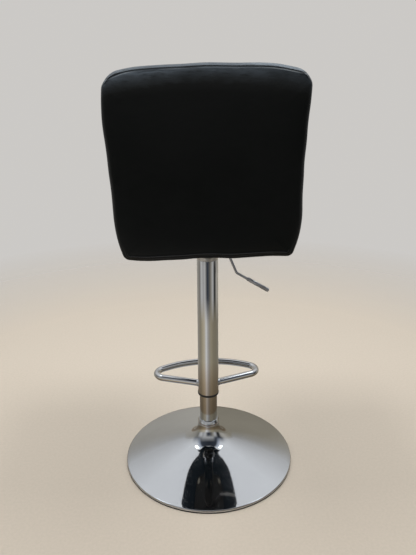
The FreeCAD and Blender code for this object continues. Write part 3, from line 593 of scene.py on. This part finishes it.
def lever_grip():
    """Metal sleeve over the lever's end, with rolled ends and two pairs of turned lines."""
    length, radius, sides = 0.0586, 0.0047, 32
    rolled = [(0.0, 0.0031), (0.0, 0.0041), (0.0007, 0.0046), (0.0014, radius)]
    stations = list(rolled)
    for place in (0.006, 0.0085, 0.050, 0.0525):
        stations += [(place - 0.0005, radius), (place, radius - 0.00035), (place + 0.0005, radius)]
    stations += [(length - along, rad) for along, rad in reversed(rolled)]
    start = lever_tip + lever_ahead * (0.002 - length)
    side = lever_ahead.orthogonal().normalized()
    verts = [v for along, rad in stations
             for v in circle(start + lever_ahead * along, lever_ahead, side, rad, sides)]
    faces = [face for k in range(0, len(verts), sides)
             for face in band(k, (k + sides) % len(verts), sides)]
    return new_object("lever_grip", verts, faces, "lever_steel")


finish_piece(lever_grip(), "lever", "lever_steel", "lever_sleeve")


# ------------------------------------------------------------------ upholstery

def drawn_in(corners, inset):
    """The outline's corners moved in by inset, each with a smaller radius."""
    moved = []
    for i, (u, v, radius) in enumerate(corners):
        before, after = corners[i - 1], corners[(i + 1) % len(corners)]
        first = Vector((before[1] - v, u - before[0])).normalized()
        second = Vector((v - after[1], after[0] - u)).normalized()
        shift = (first + second) * (inset / (1 + first.dot(second)))
        moved.append((u + shift.x, v + shift.y, max(radius - inset, radius * 0.35)))
    return moved


def outline(corners, inset, counts):
    """Points round the outline, as many on each arc and line whatever the inset."""
    corners = drawn_in(corners, inset)
    pts = [Vector((u, v)) for u, v, r in corners]
    arcs = [fillet(pts[i - 1], pts[i], pts[(i + 1) % len(pts)], corners[i][2])
            for i in range(len(pts))]
    out = []
    for i, (start, end, centre) in enumerate(arcs):
        n_arc, n_line = counts[i]
        out += arc_between(start, end, centre, n_arc)[:-1]
        ahead = arcs[(i + 1) % len(arcs)][0]
        out += [end.lerp(ahead, k / n_line) for k in range(n_line)]
    return out


BACK_CORNERS_RIGHT = [
    (0.166, 0.0, 0.014), (0.184, 0.062, 0.250), (0.1882, 0.205, 2.0), (0.1935, 0.3695, 0.033)]
BACK_CREST = (0, 0.3946, 0.9 * (0.1935 - 0.033) / ((0.3946 - 0.3695) / 0.1935))
BACK_CORNERS = BACK_CORNERS_RIGHT + [BACK_CREST] + [
    (-u, v, r) for u, v, r in reversed(BACK_CORNERS_RIGHT)]
BACK_COUNTS = [(8, 14), (8, 34), (12, 34), (20, 8), (110, 8), (20, 34), (12, 34), (8, 14), (8, 80)]

# How far each side lies outside the drawn outline, by height.
LEFT_OUT = [(0.0, 0.0), (0.10, 0.0010), (0.20, 0.0015), (0.30, 0.0030), (0.36, 0.0030), (0.40, 0.0)]
RIGHT_OUT = [
    (0.0, 0.0020), (0.10, 0.0010), (0.20, 0.0015), (0.30, 0.0020), (0.36, 0.0015), (0.40, 0.0)]
HEM_TILT, HEM_TILT_TOP = 0.027, 0.36
BACK_HALF = 0.19
BACK_MIDDLE = 0.2
NUDGE_REACH = 0.024
# Small local shifts of the outline: place across and up, then how far across and up it moves.
NUDGES = [
    (-0.169, 0.020, -0.0013, -0.0006), (-0.173, 0.050, 0.0008, 0), (0.173, 0.050, 0.0020, 0),
    (-0.178, 0.090, 0.0014, 0), (0.178, 0.090, 0.0017, 0), (-0.185, 0.140, 0.0017, 0),
    (0.185, 0.140, -0.0010, 0), (0.194, 0.200, -0.0024, 0), (-0.194, 0.270, -0.0016, 0),
    (0.194, 0.270, -0.0017, 0), (0.194, 0.325, 0.0006, 0), (-0.194, 0.355, 0.0009, 0),
    (0.194, 0.355, -0.0004, 0), (-0.186, 0.359, 0.0032, -0.0032), (-0.095, 0.389, 0, -0.0007),
    (-0.045, 0.393, 0, -0.0018), (0.095, 0.389, 0, 0.0020), (0.135, 0.382, 0, 0.0039),
    (0.186, 0.359, 0.0010, 0.0010), (-0.165, 0, 0, 0.0036), (-0.145, 0, 0, -0.0033),
    (-0.105, 0, 0, -0.0028), (-0.055, 0, 0, -0.0025), (-0.135, 0.382, 0, 0.0007),
    (-0.194, 0.325, -0.0004, 0), (0.045, 0.393, 0, -0.0005), (0.165, 0.376, 0, -0.0004),
    (0.169, 0.020, 0.0023, -0.0011), (0.050, 0, 0, -0.0032), (0.095, 0, 0, -0.0016),
    (0.135, 0, 0, 0.0005), (0.160, 0, 0, -0.0016)]


def curve(points, x):
    """Smooth value between the listed (place, value) points."""
    if x <= points[0][0]:
        return points[0][1]
    for (xa, a), (xb, b) in zip(points, points[1:]):
        if x <= xb:
            t = (x - xa) / (xb - xa)
            return a + (b - a) * t * t * (3 - 2 * t)
    return points[-1][1]


def back_place(u, v, depth):
    """From the back's own outline (across, up, forward) to the row's frame."""
    share = min(abs(u) / BACK_HALF, 1.0) ** 3
    u += curve(RIGHT_OUT, v) * share if u > 0 else -curve(LEFT_OUT, v) * share
    v += HEM_TILT * u * max(0.0, 1 - v / HEM_TILT_TOP)
    across = up = 0.0
    for place, height, move_u, move_v in NUDGES:
        near = ((u - place) ** 2 + (v - height) ** 2) / (2 * NUDGE_REACH ** 2)
        if near < 8:
            across += move_u * math.exp(-near)
            up += move_v * math.exp(-near)
    u += across
    v += up
    y = depth * math.cos(LEAN) - v * math.sin(LEAN)
    z = depth * math.sin(LEAN) + v * math.cos(LEAN)
    return Vector((u, y + BACK_Y, z + PLATE_TOP))


def wobble(u, v, scale, seed):
    """A soft random value near zero, that changes with the place."""
    return noise.noise(Vector((u * scale + seed, v * scale, seed * 1.7)))


# Each station of the cover's edge is (inset, depth) in millimetres, from inside the hem outwards.
TOP_SECTION = [
    (2.2, 26), (0.6, 24), (0.2, 21), (0.7, 17), (1.5, 13), (2.4, 9.5), (3.3, 6.8), (3.9, 5.5),
    (4.1, 6.0), (4.6, 6.3), (5.4, 6.0), (6.4, 5.4), (7.4, 4.7), (8.8, 3.9), (10.2, 3.1), (12, 2.2),
    (14, 1.4), (19, -0.3), (25, -1.7), (33, -2.9), (42, -3.6)]
SIDE_SECTION = [
    (0.8, 26), (0.0, 22), (-0.4, 16), (-0.2, 12.5), (0.4, 9.6), (1.1, 7.4), (1.9, 5.8), (2.5, 4.9),
    (3.2, 4.0), (4.1, 3.0), (5.0, 2.2), (6.0, 1.45), (7.0, 0.85), (8.0, 0.35), (9.2, -0.1),
    (11.0, -0.65), (14, -1.4), (19, -2.2), (25, -2.8), (33, -3.3), (42, -3.6)]
SEAM_STATION = 7
HEM_STATION = 16
HEM_HIGH = 0.035
RIM_INSET = 0.042
CROWN_STEPS = 30
EVEN_INSET = 0.005


def top_share(points):
    """How much of the top edge's seam each outline point has, from the outline's direction."""
    shares = []
    for i, p in enumerate(points):
        along = points[(i + 1) % len(points)] - points[i - 1]
        up = -along.x / along.length
        t = min(max((up - 0.15) / 0.45, 0.0), 1.0)
        shares.append(t * t * (3 - 2 * t))
    return shares


def crease(u, d, place, below, length, width, depth, slant):
    """One soft dent that lies along the top edge, d below it."""
    x = (u - place) / length
    y = (d - below - slant * (u - place)) / width
    return depth * math.exp(-x * x - y * y)


TOP_CREASES = [
    (-0.104, 0.0085, 0.010, 0.0011, 0.0009, 0.10), (-0.092, 0.0080, 0.006, 0.0010, 0.0010, -0.15),
    (-0.081, 0.0090, 0.007, 0.0010, 0.0008, 0.20), (-0.070, 0.0075, 0.005, 0.0009, 0.0007, 0.0),
    (-0.118, 0.0100, 0.008, 0.0012, 0.0007, -0.10), (-0.060, 0.0105, 0.012, 0.0013, 0.0006, 0.08),
    (-0.030, 0.0150, 0.013, 0.0016, 0.0010, -0.10), (-0.014, 0.0135, 0.008, 0.0013, 0.0010, 0.15),
    (-0.004, 0.0160, 0.006, 0.0013, 0.0007, -0.25), (-0.047, 0.0175, 0.014, 0.0018, 0.0006, 0.05),
    (-0.085, 0.0190, 0.018, 0.0022, 0.0007, 0.06), (0.020, 0.0110, 0.010, 0.0014, 0.0005, 0.1),
    (0.060, 0.0130, 0.014, 0.0018, 0.0004, -0.08), (0.105, 0.0120, 0.012, 0.0016, 0.0004, 0.1),
    (-0.140, 0.0160, 0.012, 0.0020, 0.0006, 0.25), (0.150, 0.0150, 0.012, 0.0020, 0.0004, -0.2)]


def back_ring(inset):
    """The back's outline drawn in by inset, towards the middle once it is more than a little."""
    ring = outline(BACK_CORNERS, min(inset, EVEN_INSET), BACK_COUNTS)
    if inset <= EVEN_INSET:
        return ring
    centre = Vector((0, BACK_MIDDLE))
    moved = []
    for i, p in enumerate(ring):
        along = ring[(i + 1) % len(ring)] - ring[i - 1]
        inward = Vector((-along.y, along.x)).normalized()
        moved.append(p.lerp(centre, (inset - EVEN_INSET) / (centre - p).dot(inward)))
    return moved


def hem_fold(p, d):
    """The turned hem: a raised fold along the bottom edge with a groove on its outer side."""
    if d > 0.025 or p.y > HEM_HIGH:
        return 0.0
    level = 0.0110 + wobble(p.x, 0.0, 22, 5.5) * 0.0016
    ridge = math.exp(-((d - level) / 0.0017) ** 2)
    groove = math.exp(-((d - level + 0.0036) / 0.0016) ** 2)
    low = max(0.0, 1 - (p.y / HEM_HIGH) ** 2)
    return (groove * 0.0014 - ridge * 0.0013) * low


def rear_relief(p, d, share):
    """Wrinkles of the rear cover at an outline point drawn in by d."""
    fade = max(math.exp(-d / 0.022) - math.exp(-0.040 / 0.022), 0.0)
    dents = sum(crease(p.x, d, *row) for row in TOP_CREASES) * share * 1.8 if d < 0.03 else 0.0
    # How strongly the wrinkle lines show along the top edge, more on the left; this shapes the
    # cover only.
    sheen_and_wear = share * fade * (1.0 if p.x < 0 else 0.5)
    lines = wobble(p.x * 0.4, p.y * 2.2, 60, 7.7) * 0.0005 * sheen_and_wear
    puckers = wobble(p.x, p.y, 45, 3.1) * 0.0007 * fade
    return dents + lines + puckers + hem_fold(p, d) + wobble(p.x, p.y, 8, 1.3) * 0.0006


def build_rear_panel():
    """The back's outer cover: boxing, a stitched seam under the top edge and a crowned panel."""
    share = top_share(outline(BACK_CORNERS, 0.0, BACK_COUNTS))
    rings = []
    seam, fold = [], []
    for station, (top, side) in enumerate(zip(TOP_SECTION, SIDE_SECTION)):
        high = back_ring(top[0] / 1000)
        low = back_ring(side[0] / 1000)
        ring = []
        for p, q, w in zip(high, low, share):
            here = q.lerp(p, w)
            inset = (side[0] + (top[0] - side[0]) * w) / 1000
            depth = (side[1] + (top[1] - side[1]) * w) / 1000
            hem = wobble(here.x, here.y, 30, 9.4) * 0.0012 * (1 - w) if station < 4 else 0.0
            ring.append(back_place(
                here.x, here.y + hem, depth + rear_relief(here, max(inset, 0.0), w)))
        rings.append(ring)
        if station == SEAM_STATION:
            seam = [point for point, w in zip(ring, share) if w > 0.02]
        if station == HEM_STATION:
            fold = [point + Vector((0, -0.0004, 0)) for point, p in zip(ring, low) if p.y < 0.0195]
            gap = max(range(len(fold)), key=lambda i: (fold[i] - fold[i - 1]).length)
            fold = fold[gap:] + fold[:gap]
    rim = back_ring(RIM_INSET)
    centre = Vector((0, BACK_MIDDLE))
    for k in range(1, CROWN_STEPS + 1):
        t = 1 - (k / CROWN_STEPS) ** 1.1 * 0.985
        ring = []
        for p, w in zip(rim, share):
            q = centre + (p - centre) * t
            across = q.x / (0.124 + 0.026 * min(q.y / 0.33, 1.0))
            along = (q.y - 0.197) / 0.155
            dish = max(1 - across * across, 0.0) * max(1 - along * along, 0.0)
            relief = rear_relief(q, RIM_INSET + (1 - t) * 0.15, w)
            ring.append(back_place(q.x, q.y, -0.0036 - 0.0016 * dish + relief))
        rings.append(ring)
    return rings_mesh("back_rear_cover", rings, "leatherette_rear"), seam, fold


rear, seam_path, hem_path = build_rear_panel()


# Along each stitch, and how thick it is there.
STITCH_SECTION = [(0, 0.35), (0.2, 0.9), (0.5, 1.0), (0.8, 0.9), (1.0, 0.35)]


def stitches(name, path, length, gap, radius, mat):
    """A row of small raised thread stitches along a path."""
    verts, faces = [], []
    total = 0.0
    pieces = []
    for a, b in zip(path, path[1:]):
        pieces.append((total, a, b))
        total += (b - a).length
    place, index, sides = 0.0, 0, 6
    while place + length < total:
        while index + 1 < len(pieces) and pieces[index + 1][0] <= place:
            index += 1
        start, a, b = pieces[index]
        ahead = (b - a).normalized()
        here = a + ahead * (place - start)
        side = ahead.orthogonal().normalized()
        base = len(verts)
        for along, rad in STITCH_SECTION:
            verts += circle(here + ahead * (length * along), ahead, side, radius * rad, sides)
        last = len(verts) - sides
        for k in range(base, last, sides):
            faces += band(k, k + sides, sides)
        faces += [tuple(reversed(range(base, base + sides))), tuple(range(last, last + sides))]
        place += length + gap
    return new_object(name, verts, faces, mat)


finish_piece(stitches("back_rear_stitches", seam_path, 0.0030, 0.0009, 0.00032, "thread"),
             "seat", "leatherette")
finish_piece(rear, "seat", "leatherette", "rear_pad")

# The turned edge's half thickness, tapered away over eight points at both ends.
hem_radii = [0.0003 + 0.0008 * min(i / 8, (len(hem_path) - 1 - i) / 8, 1.0)
             for i in range(len(hem_path))]
# The fold is drawn in the lighter leatherette_edge, a painted highlight along the hem.
finish_piece(tube_along("back_hem_fold", hem_path, hem_radii, "leatherette_edge", 10),
             "seat", "leatherette")


PAD_RINGS, PAD_VOXEL, PAD_PRESSURE, CLOTH_FRAMES = 16, 0.005, 4.0, 20


def apply_modifiers(obj, *names):
    with bpy.context.temp_override(object=obj, active_object=obj, selected_objects=[obj]):
        for name in names:
            bpy.ops.object.modifier_apply(modifier=name)


def inflate(obj, cap):
    """Blows a soft pad up a little with a cloth simulation and keeps each point within cap."""
    bpy.context.view_layer.objects.active = obj
    remesh = obj.modifiers.new("Remesh", "REMESH")
    remesh.mode = "VOXEL"
    remesh.voxel_size = PAD_VOXEL
    remesh.use_smooth_shade = True
    apply_modifiers(obj, "Remesh")
    before = [v.co.copy() for v in obj.data.vertices]
    cloth = obj.modifiers.new("Cloth", "CLOTH")
    st = cloth.settings
    st.quality = 5
    st.mass = 0.3
    st.tension_stiffness = 12
    st.compression_stiffness = 12
    st.bending_stiffness = 1.5
    st.use_pressure = True
    st.uniform_pressure_force = PAD_PRESSURE
    st.effector_weights.gravity = 0
    cloth.collision_settings.use_collision = False
    cloth.point_cache.frame_start = 1
    cloth.point_cache.frame_end = CLOTH_FRAMES
    for f in range(1, CLOTH_FRAMES + 1):
        bpy.context.scene.frame_set(f)
    apply_modifiers(obj, "Cloth")
    for v, old in zip(obj.data.vertices, before):
        move = v.co - old
        if move.length > cap:
            v.co = old + move.normalized() * cap
    bpy.context.scene.frame_set(1)
    smooth = obj.modifiers.new("Smooth", "SMOOTH")
    smooth.factor = 0.5
    smooth.iterations = 3
    sub = obj.modifiers.new("Subdivision", "SUBSURF")
    sub.levels = 1
    sub.render_levels = 1
    apply_modifiers(obj, "Smooth", "Subdivision")
    obj.data.polygons.foreach_set("use_smooth", [True] * len(obj.data.polygons))


def build_pad(name, corners, counts, section, rim_inset, middle, foot, rim_foot, crown, put):
    """A pad: its edge by the section, then a crown in rings towards the middle of its rim."""
    rings = []
    for inset, height in section:
        ring = []
        for p in outline(corners, inset, counts):
            v = foot(p)
            ring.append(put(p.x, v, min(height, crown(p.x, v))))
        rings.append(ring)
    centre = Vector((0, middle))
    rim = [Vector((p.x, rim_foot(p))) for p in outline(corners, rim_inset, counts)]
    for k in range(PAD_RINGS):
        t = 1 - k / PAD_RINGS * 0.97
        ring = [centre + (p - centre) * t for p in rim]
        rings.append([put(q.x, q.y, crown(q.x, q.y)) for q in ring])
    return rings_mesh(name, rings, "leatherette")


FRONT_DROP = [(0.30, 0.0), (0.37, 0.0040)]
FRONT_SECTION = [
    (0.002, 0.0262), (0.0008, 0.030), (0.0006, 0.040), (0.0016, 0.048), (0.005, 0.056),
    (0.011, 0.0615), (0.019, 0.0645)]


def front_foot(u):
    """Height of the front pad's lower edge, which follows the seat down at its sides."""
    return 0.046 - curve([(0.09, 0.0), (0.165, 0.016)], abs(u))


def front_crown(u, v):
    return 0.068 - (u * u + (v - 0.213) ** 2) / 3.0


front = build_pad(
    "back_front_cushion", BACK_CORNERS, BACK_COUNTS, FRONT_SECTION, 0.022, BACK_MIDDLE,
    lambda p: max(p.y, front_foot(p.x)) - curve(FRONT_DROP, p.y),
    lambda p: max(p.y, front_foot(p.x) + 0.006), front_crown, back_place)
inflate(front, 0.006)
finish_piece(front, "seat", "leatherette", "back_cushion")

SEAT_CORNERS_RIGHT = [
    (0.150, -0.216, 0.022), (0.188, -0.095, 0.120), (0.1855, 0.015, 2.0), (0.188, 0.193, 0.045)]
SEAT_CORNERS = SEAT_CORNERS_RIGHT + [(0, 0.207, 1.2)] + [
    (-u, v, r) for u, v, r in reversed(SEAT_CORNERS_RIGHT)]
SEAT_COUNTS = [(8, 14), (12, 12), (8, 18), (14, 8), (40, 8), (14, 18), (8, 12), (12, 14), (8, 40)]
SEAT_FOOT = 0.5872
SEAT_SECTION = [
    (0.016, SEAT_FOOT), (0.008, 0.5880), (0.0035, 0.5925), (0.0015, 0.602), (0.001, 0.614),
    (0.0015, 0.626), (0.004, 0.636), (0.009, 0.6435), (0.016, 0.648)]


def seat_crown(x, y):
    return 0.6535 - (x * x + (y - 0.015) ** 2) / 2.3


seat = build_pad(
    "seat_pad", SEAT_CORNERS, SEAT_COUNTS, SEAT_SECTION, 0.019, 0.0,
    lambda p: max(p.y, -0.1985), lambda p: max(p.y, -0.195), seat_crown,
    lambda x, y, z: Vector((x, y, z)))
inflate(seat, 0.005)
# The pad's foot is kept flat, and a little higher at the back.
for v in seat.data.vertices:
    v.co.z = max(v.co.z, SEAT_FOOT + curve([(-0.19, 0.0055), (-0.15, 0.0)], v.co.y))
finish_piece(seat, "seat", "leatherette", "seat_cushion")


# ------------------------------------------------------------- floor and light

FLOOR_R, FLOOR_SIDES, CARD_SIDES = 2.0, 64, 72


def make_floor():
    """A pale floor that fades out into the room round it."""
    tree, shader = material("floor_pale")
    fine = noise_map(tree, coords(tree), 160.0, 3.0, 0.6)
    link(tree, two_tone(tree, fine, (0.53, 0.47, 0.39), (0.57, 0.50, 0.42)),
         shader.inputs["Base Color"])
    shader.inputs["Roughness"].default_value = 0.85
    shader.inputs["Specular IOR Level"].default_value = 0.15
    fade = between(tree, length_of(tree, own_place(tree)[0]), 1.0, 1.9)
    link(tree, see_through(tree, fade, shader.outputs[0]),
         tree.nodes["Material Output"].inputs["Surface"])
    rim = [direction(2 * math.pi * k / FLOOR_SIDES) * FLOOR_R for k in range(FLOOR_SIDES)]
    verts = [(0, 0, 0)] + [(p.x, p.y, 0) for p in rim]
    faces = [(0, 1 + k, 1 + (k + 1) % FLOOR_SIDES) for k in range(FLOOR_SIDES)]
    new_object("floor", verts, faces, "floor_pale", False)


make_floor()


def make_world():
    """A plain pale room: the same backdrop for the camera, for metal and for glass."""
    world = bpy.data.worlds.new("studio")
    bpy.context.scene.world = world
    world.use_nodes = True
    tree = world.node_tree
    background = tree.nodes["Background"]
    path = add(tree, "ShaderNodeLightPath")
    shown = math_node(tree, "MAXIMUM", path.outputs["Is Camera Ray"], path.outputs["Is Glossy Ray"])
    shown = math_node(tree, "MAXIMUM", shown, path.outputs["Is Transmission Ray"])
    seen = mixed(tree, shown, (0.50, 0.50, 0.50, 1), (0.60, 0.585, 0.565, 1))
    link(tree, seen, background.inputs["Color"])
    background.inputs["Strength"].default_value = 1.0


make_world()


def glossy_card(name, verts, faces, paint, clear=None):
    """A glowing card that only polished surfaces see, as a painted reflection, clear where its
    clear share says so.
    """
    tree, shader = material(name)
    tree.nodes.remove(shader)
    vector, parts = own_place(tree)
    look = add(tree, "ShaderNodeEmission", {"Color": paint(tree, vector, parts)}).outputs[0]
    if clear is not None:
        look = see_through(tree, clear(tree, parts), look)
    link(tree, look, tree.nodes["Material Output"].inputs["Surface"])
    obj = new_object(name, verts, faces, name, False)
    obj.visible_camera = False
    obj.visible_diffuse = False
    obj.visible_transmission = False
    obj.visible_volume_scatter = False
    obj.visible_shadow = False


def bearing(tree, parts):
    """0..1 for the direction round the object: 0.5 towards the camera, more to its right."""
    angle = math_node(tree, "ARCTAN2", parts["X"], math_node(tree, "MULTIPLY", parts["Y"], -1.0))
    return between(tree, angle, -math.pi, math.pi)


def bearing_ramp(tree, turn, stops):
    """Grey by bearing, from (degrees, level, warmth) stops."""
    return ramp(tree, turn, [
        (0.5 + degrees / 360, (level * (1 + 0.5 * warm), level, level * (1 - warm)))
        for degrees, level, warm in stops])


def around(radius, height):
    """A level ring of points about the origin."""
    return [(radius * math.sin(a), -radius * math.cos(a), height)
            for a in (2 * math.pi * k / CARD_SIDES for k in range(CARD_SIDES))]


def screen_paint(tree, vector, parts):
    """Painted reflection of a room: pale and dark uprights round the object, over a warm ground
    that is darker near the object.
    """
    turn = bearing(tree, parts)
    uprights = bearing_ramp(tree, turn, [
        (-180, 0.48, 0.1), (-115, 0.34, 0.1), (-92, 0.22, 0.1), (-76, 0.56, 0.0), (-62, 0.66, 0.0),
        (-50, 0.44, 0.0), (-30, 0.62, 0.0), (-17, 0.28, 0.0), (-7, 0.05, -0.3), (5, 0.07, -0.3),
        (24, 0.15, 0.1), (40, 0.36, 0.1), (55, 0.60, 0.0), (65, 0.36, 0.0), (77, 0.03, 0.0),
        (89, 0.04, 0.0), (104, 0.42, 0.1), (125, 0.50, 0.1), (150, 0.30, 0.2), (180, 0.28, 0.2)])
    ground = bearing_ramp(tree, turn, [
        (-180, 0.46, 0.1), (-115, 0.32, 0.15), (-85, 0.30, 0.25), (-58, 0.46, 0.27),
        (-36, 0.58, 0.22), (-28, 0.70, 0.05), (-18, 0.86, 0.0), (-5, 0.54, 0.02),
        (12, 0.36, 0.15), (34, 0.34, 0.27), (60, 0.26, 0.27), (100, 0.24, 0.25),
        (130, 0.26, 0.2), (180, 0.26, 0.2)])
    near = ramp(tree, between(tree, length_of(tree, vector), 0.2, 0.7), [
        (0.0, (0.45, 0.385, 0.33)), (0.2, (0.58, 0.50, 0.425)), (0.36, (0.74, 0.655, 0.58)),
        (0.52, (0.92, 0.87, 0.84)), (0.64, grey(1.0))])
    ground = mixed(tree, 1.0, ground, near, "MULTIPLY")
    return mixed(tree, between(tree, parts["Z"], 0.03, 0.13), ground, uprights)


def screen_clear(tree, parts):
    return between(tree, parts["Z"], 0.25, 0.44)


glossy_card("screens", *hoops([
    around(0.208, 0.002), around(0.45, 0.002), around(0.75, 0.002), around(0.75, 0.08),
    around(0.75, 0.16), around(0.75, 0.44)]), screen_paint, screen_clear)


def dome_paint(tree, vector, parts):
    """Painted reflection overhead: pale, with a dim blue gap at mid height over the camera and to
    its right.
    """
    rise = math_node(tree, "DIVIDE", parts["Z"], length_of(tree, vector))
    turn = bearing(tree, parts)
    low = bearing_ramp(tree, turn, [
        (-180, 0.44, 0.03), (-125, 0.50, 0.03), (-60, 0.45, 0.0), (-30, 0.52, 0.0), (0, 0.60, 0.0),
        (25, 0.32, 0.0), (45, 0.10, -0.2), (64, 0.06, -0.3), (100, 0.10, -0.2), (122, 0.48, 0.0),
        (150, 0.31, 0.08), (180, 0.31, 0.08)])
    middle = bearing_ramp(tree, turn, [
        (-180, 0.50, 0.0), (-150, 0.52, 0.0), (-122, 0.62, 0.0), (-108, 0.30, -0.1),
        (-80, 0.18, -0.1), (-62, 0.30, 0.0), (-45, 0.50, 0.0), (0, 0.56, 0.0), (35, 0.48, 0.0),
        (52, 0.12, -0.2), (64, 0.07, -0.3), (104, 0.08, -0.3), (118, 0.50, 0.0), (132, 0.62, 0.0),
        (155, 0.42, 0.03), (180, 0.40, 0.03)])
    steep = bearing_ramp(tree, turn, [
        (-180, 0.86, -0.03), (-120, 0.90, -0.03), (-92, 0.86, -0.05), (-76, 0.50, -0.2),
        (-60, 0.06, -0.3), (0, 0.035, -0.3), (60, 0.05, -0.3), (76, 0.50, -0.2), (92, 0.86, -0.05),
        (120, 0.90, -0.03), (180, 0.86, -0.03)])
    high = ramp(tree, rise, [(0.95, (0.95, 0.96, 0.97)), (1.0, grey(1.0))])
    lower = mixed(tree, between(tree, rise, 0.10, 0.24), low, middle)
    upper = mixed(tree, between(tree, rise, 0.93, 0.98), steep, high)
    return mixed(tree, between(tree, rise, 0.42, 0.76), lower, upper)


DOME_R = 3.6
dome_rows = [around(DOME_R * math.cos(math.radians(e)), DOME_R * math.sin(math.radians(e)))
             for e in (0, 10, 20, 30, 40, 50, 60, 70, 80, 89)]
glossy_card("dome", *hoops(dome_rows), dome_paint)


def dark_paint(tree, vector, parts):
    return two_tone(tree, noise_map(tree, vector, 1.0), grey(0.010), grey(0.020))


# A dark card that only polished surfaces see: a painted dark reflection in front of the object.
glossy_card("dark_ground", [
    (-2.6, -0.80, 0.004), (2.6, -0.80, 0.004), (3.4, -3.4, 0.004), (-3.4, -3.4, 0.004)],
    [(0, 1, 2, 3)], dark_paint)


def lamp_paint(tree, vector, parts):
    return two_tone(tree, noise_map(tree, vector, 2.0), (4.6, 5.0, 5.4), (5.0, 5.4, 5.8))


# Two glowing cards that only polished surfaces see: painted highlights of windows overhead.
for name, x in (("window_left", -1.18), ("window_right", 1.18)):
    y, z, half_x, half_y = 0.38, 2.3, 0.26, 0.22
    glossy_card(name, [
        (x - half_x, y - half_y, z), (x + half_x, y - half_y, z), (x + half_x, y + half_y, z),
        (x - half_x, y + half_y, z)], [(0, 1, 2, 3)], lamp_paint)


def area_light(name, place, target, size, energy, colour=(1, 1, 1)):
    data = bpy.data.lights.new(name, "AREA")
    data.shape = "RECTANGLE"
    data.size, data.size_y = size
    data.energy = energy
    data.color = colour
    obj = bpy.data.objects.new(name, data)
    obj.location = place
    obj.rotation_mode = "QUATERNION"
    obj.rotation_quaternion = (Vector(target) - Vector(place)).to_track_quat("-Z", "Y")
    obj.visible_glossy = False
    bpy.context.scene.collection.objects.link(obj)


area_light("ceiling_left", (-1.0, -0.1, 2.3), (0, 0, 0.4), (0.7, 0.7), 22)
area_light("ceiling_right", (1.0, -0.1, 2.3), (0, 0, 0.4), (0.7, 0.7), 22)
area_light("ceiling_front", (0.0, 1.3, 2.2), (0, 0, 0.6), (1.6, 0.8), 16, (0.93, 0.97, 1.0))


# ---------------------------------------------------------------------- camera

# The image's height, the focal length and the shifts are in pixels; pitch and roll in degrees.
IMAGE_HEIGHT, FOCAL, SHIFT_X, SHIFT_Y = 555.0, 600.0, 1.1, -83.5
SENSOR, PITCH, ROLL = 36.0, -12.615, -0.42

camera_data = bpy.data.cameras.new("camera")
camera_data.sensor_fit = "AUTO"
camera_data.sensor_width = SENSOR
camera_data.lens = FOCAL / IMAGE_HEIGHT * SENSOR
camera_data.shift_x = SHIFT_X / IMAGE_HEIGHT
camera_data.shift_y = SHIFT_Y / IMAGE_HEIGHT
camera = bpy.data.objects.new("camera", camera_data)
camera.location = (0, -1.3398, 0.97533)
pitch = Matrix.Rotation(math.radians(90 + PITCH), 3, "X")
roll = Matrix.Rotation(math.radians(ROLL), 3, "Z")
camera.rotation_euler = (pitch @ roll).to_euler()
bpy.context.scene.collection.objects.link(camera)
bpy.context.scene.camera = camera

bpy.context.scene.view_settings.view_transform = "Standard"
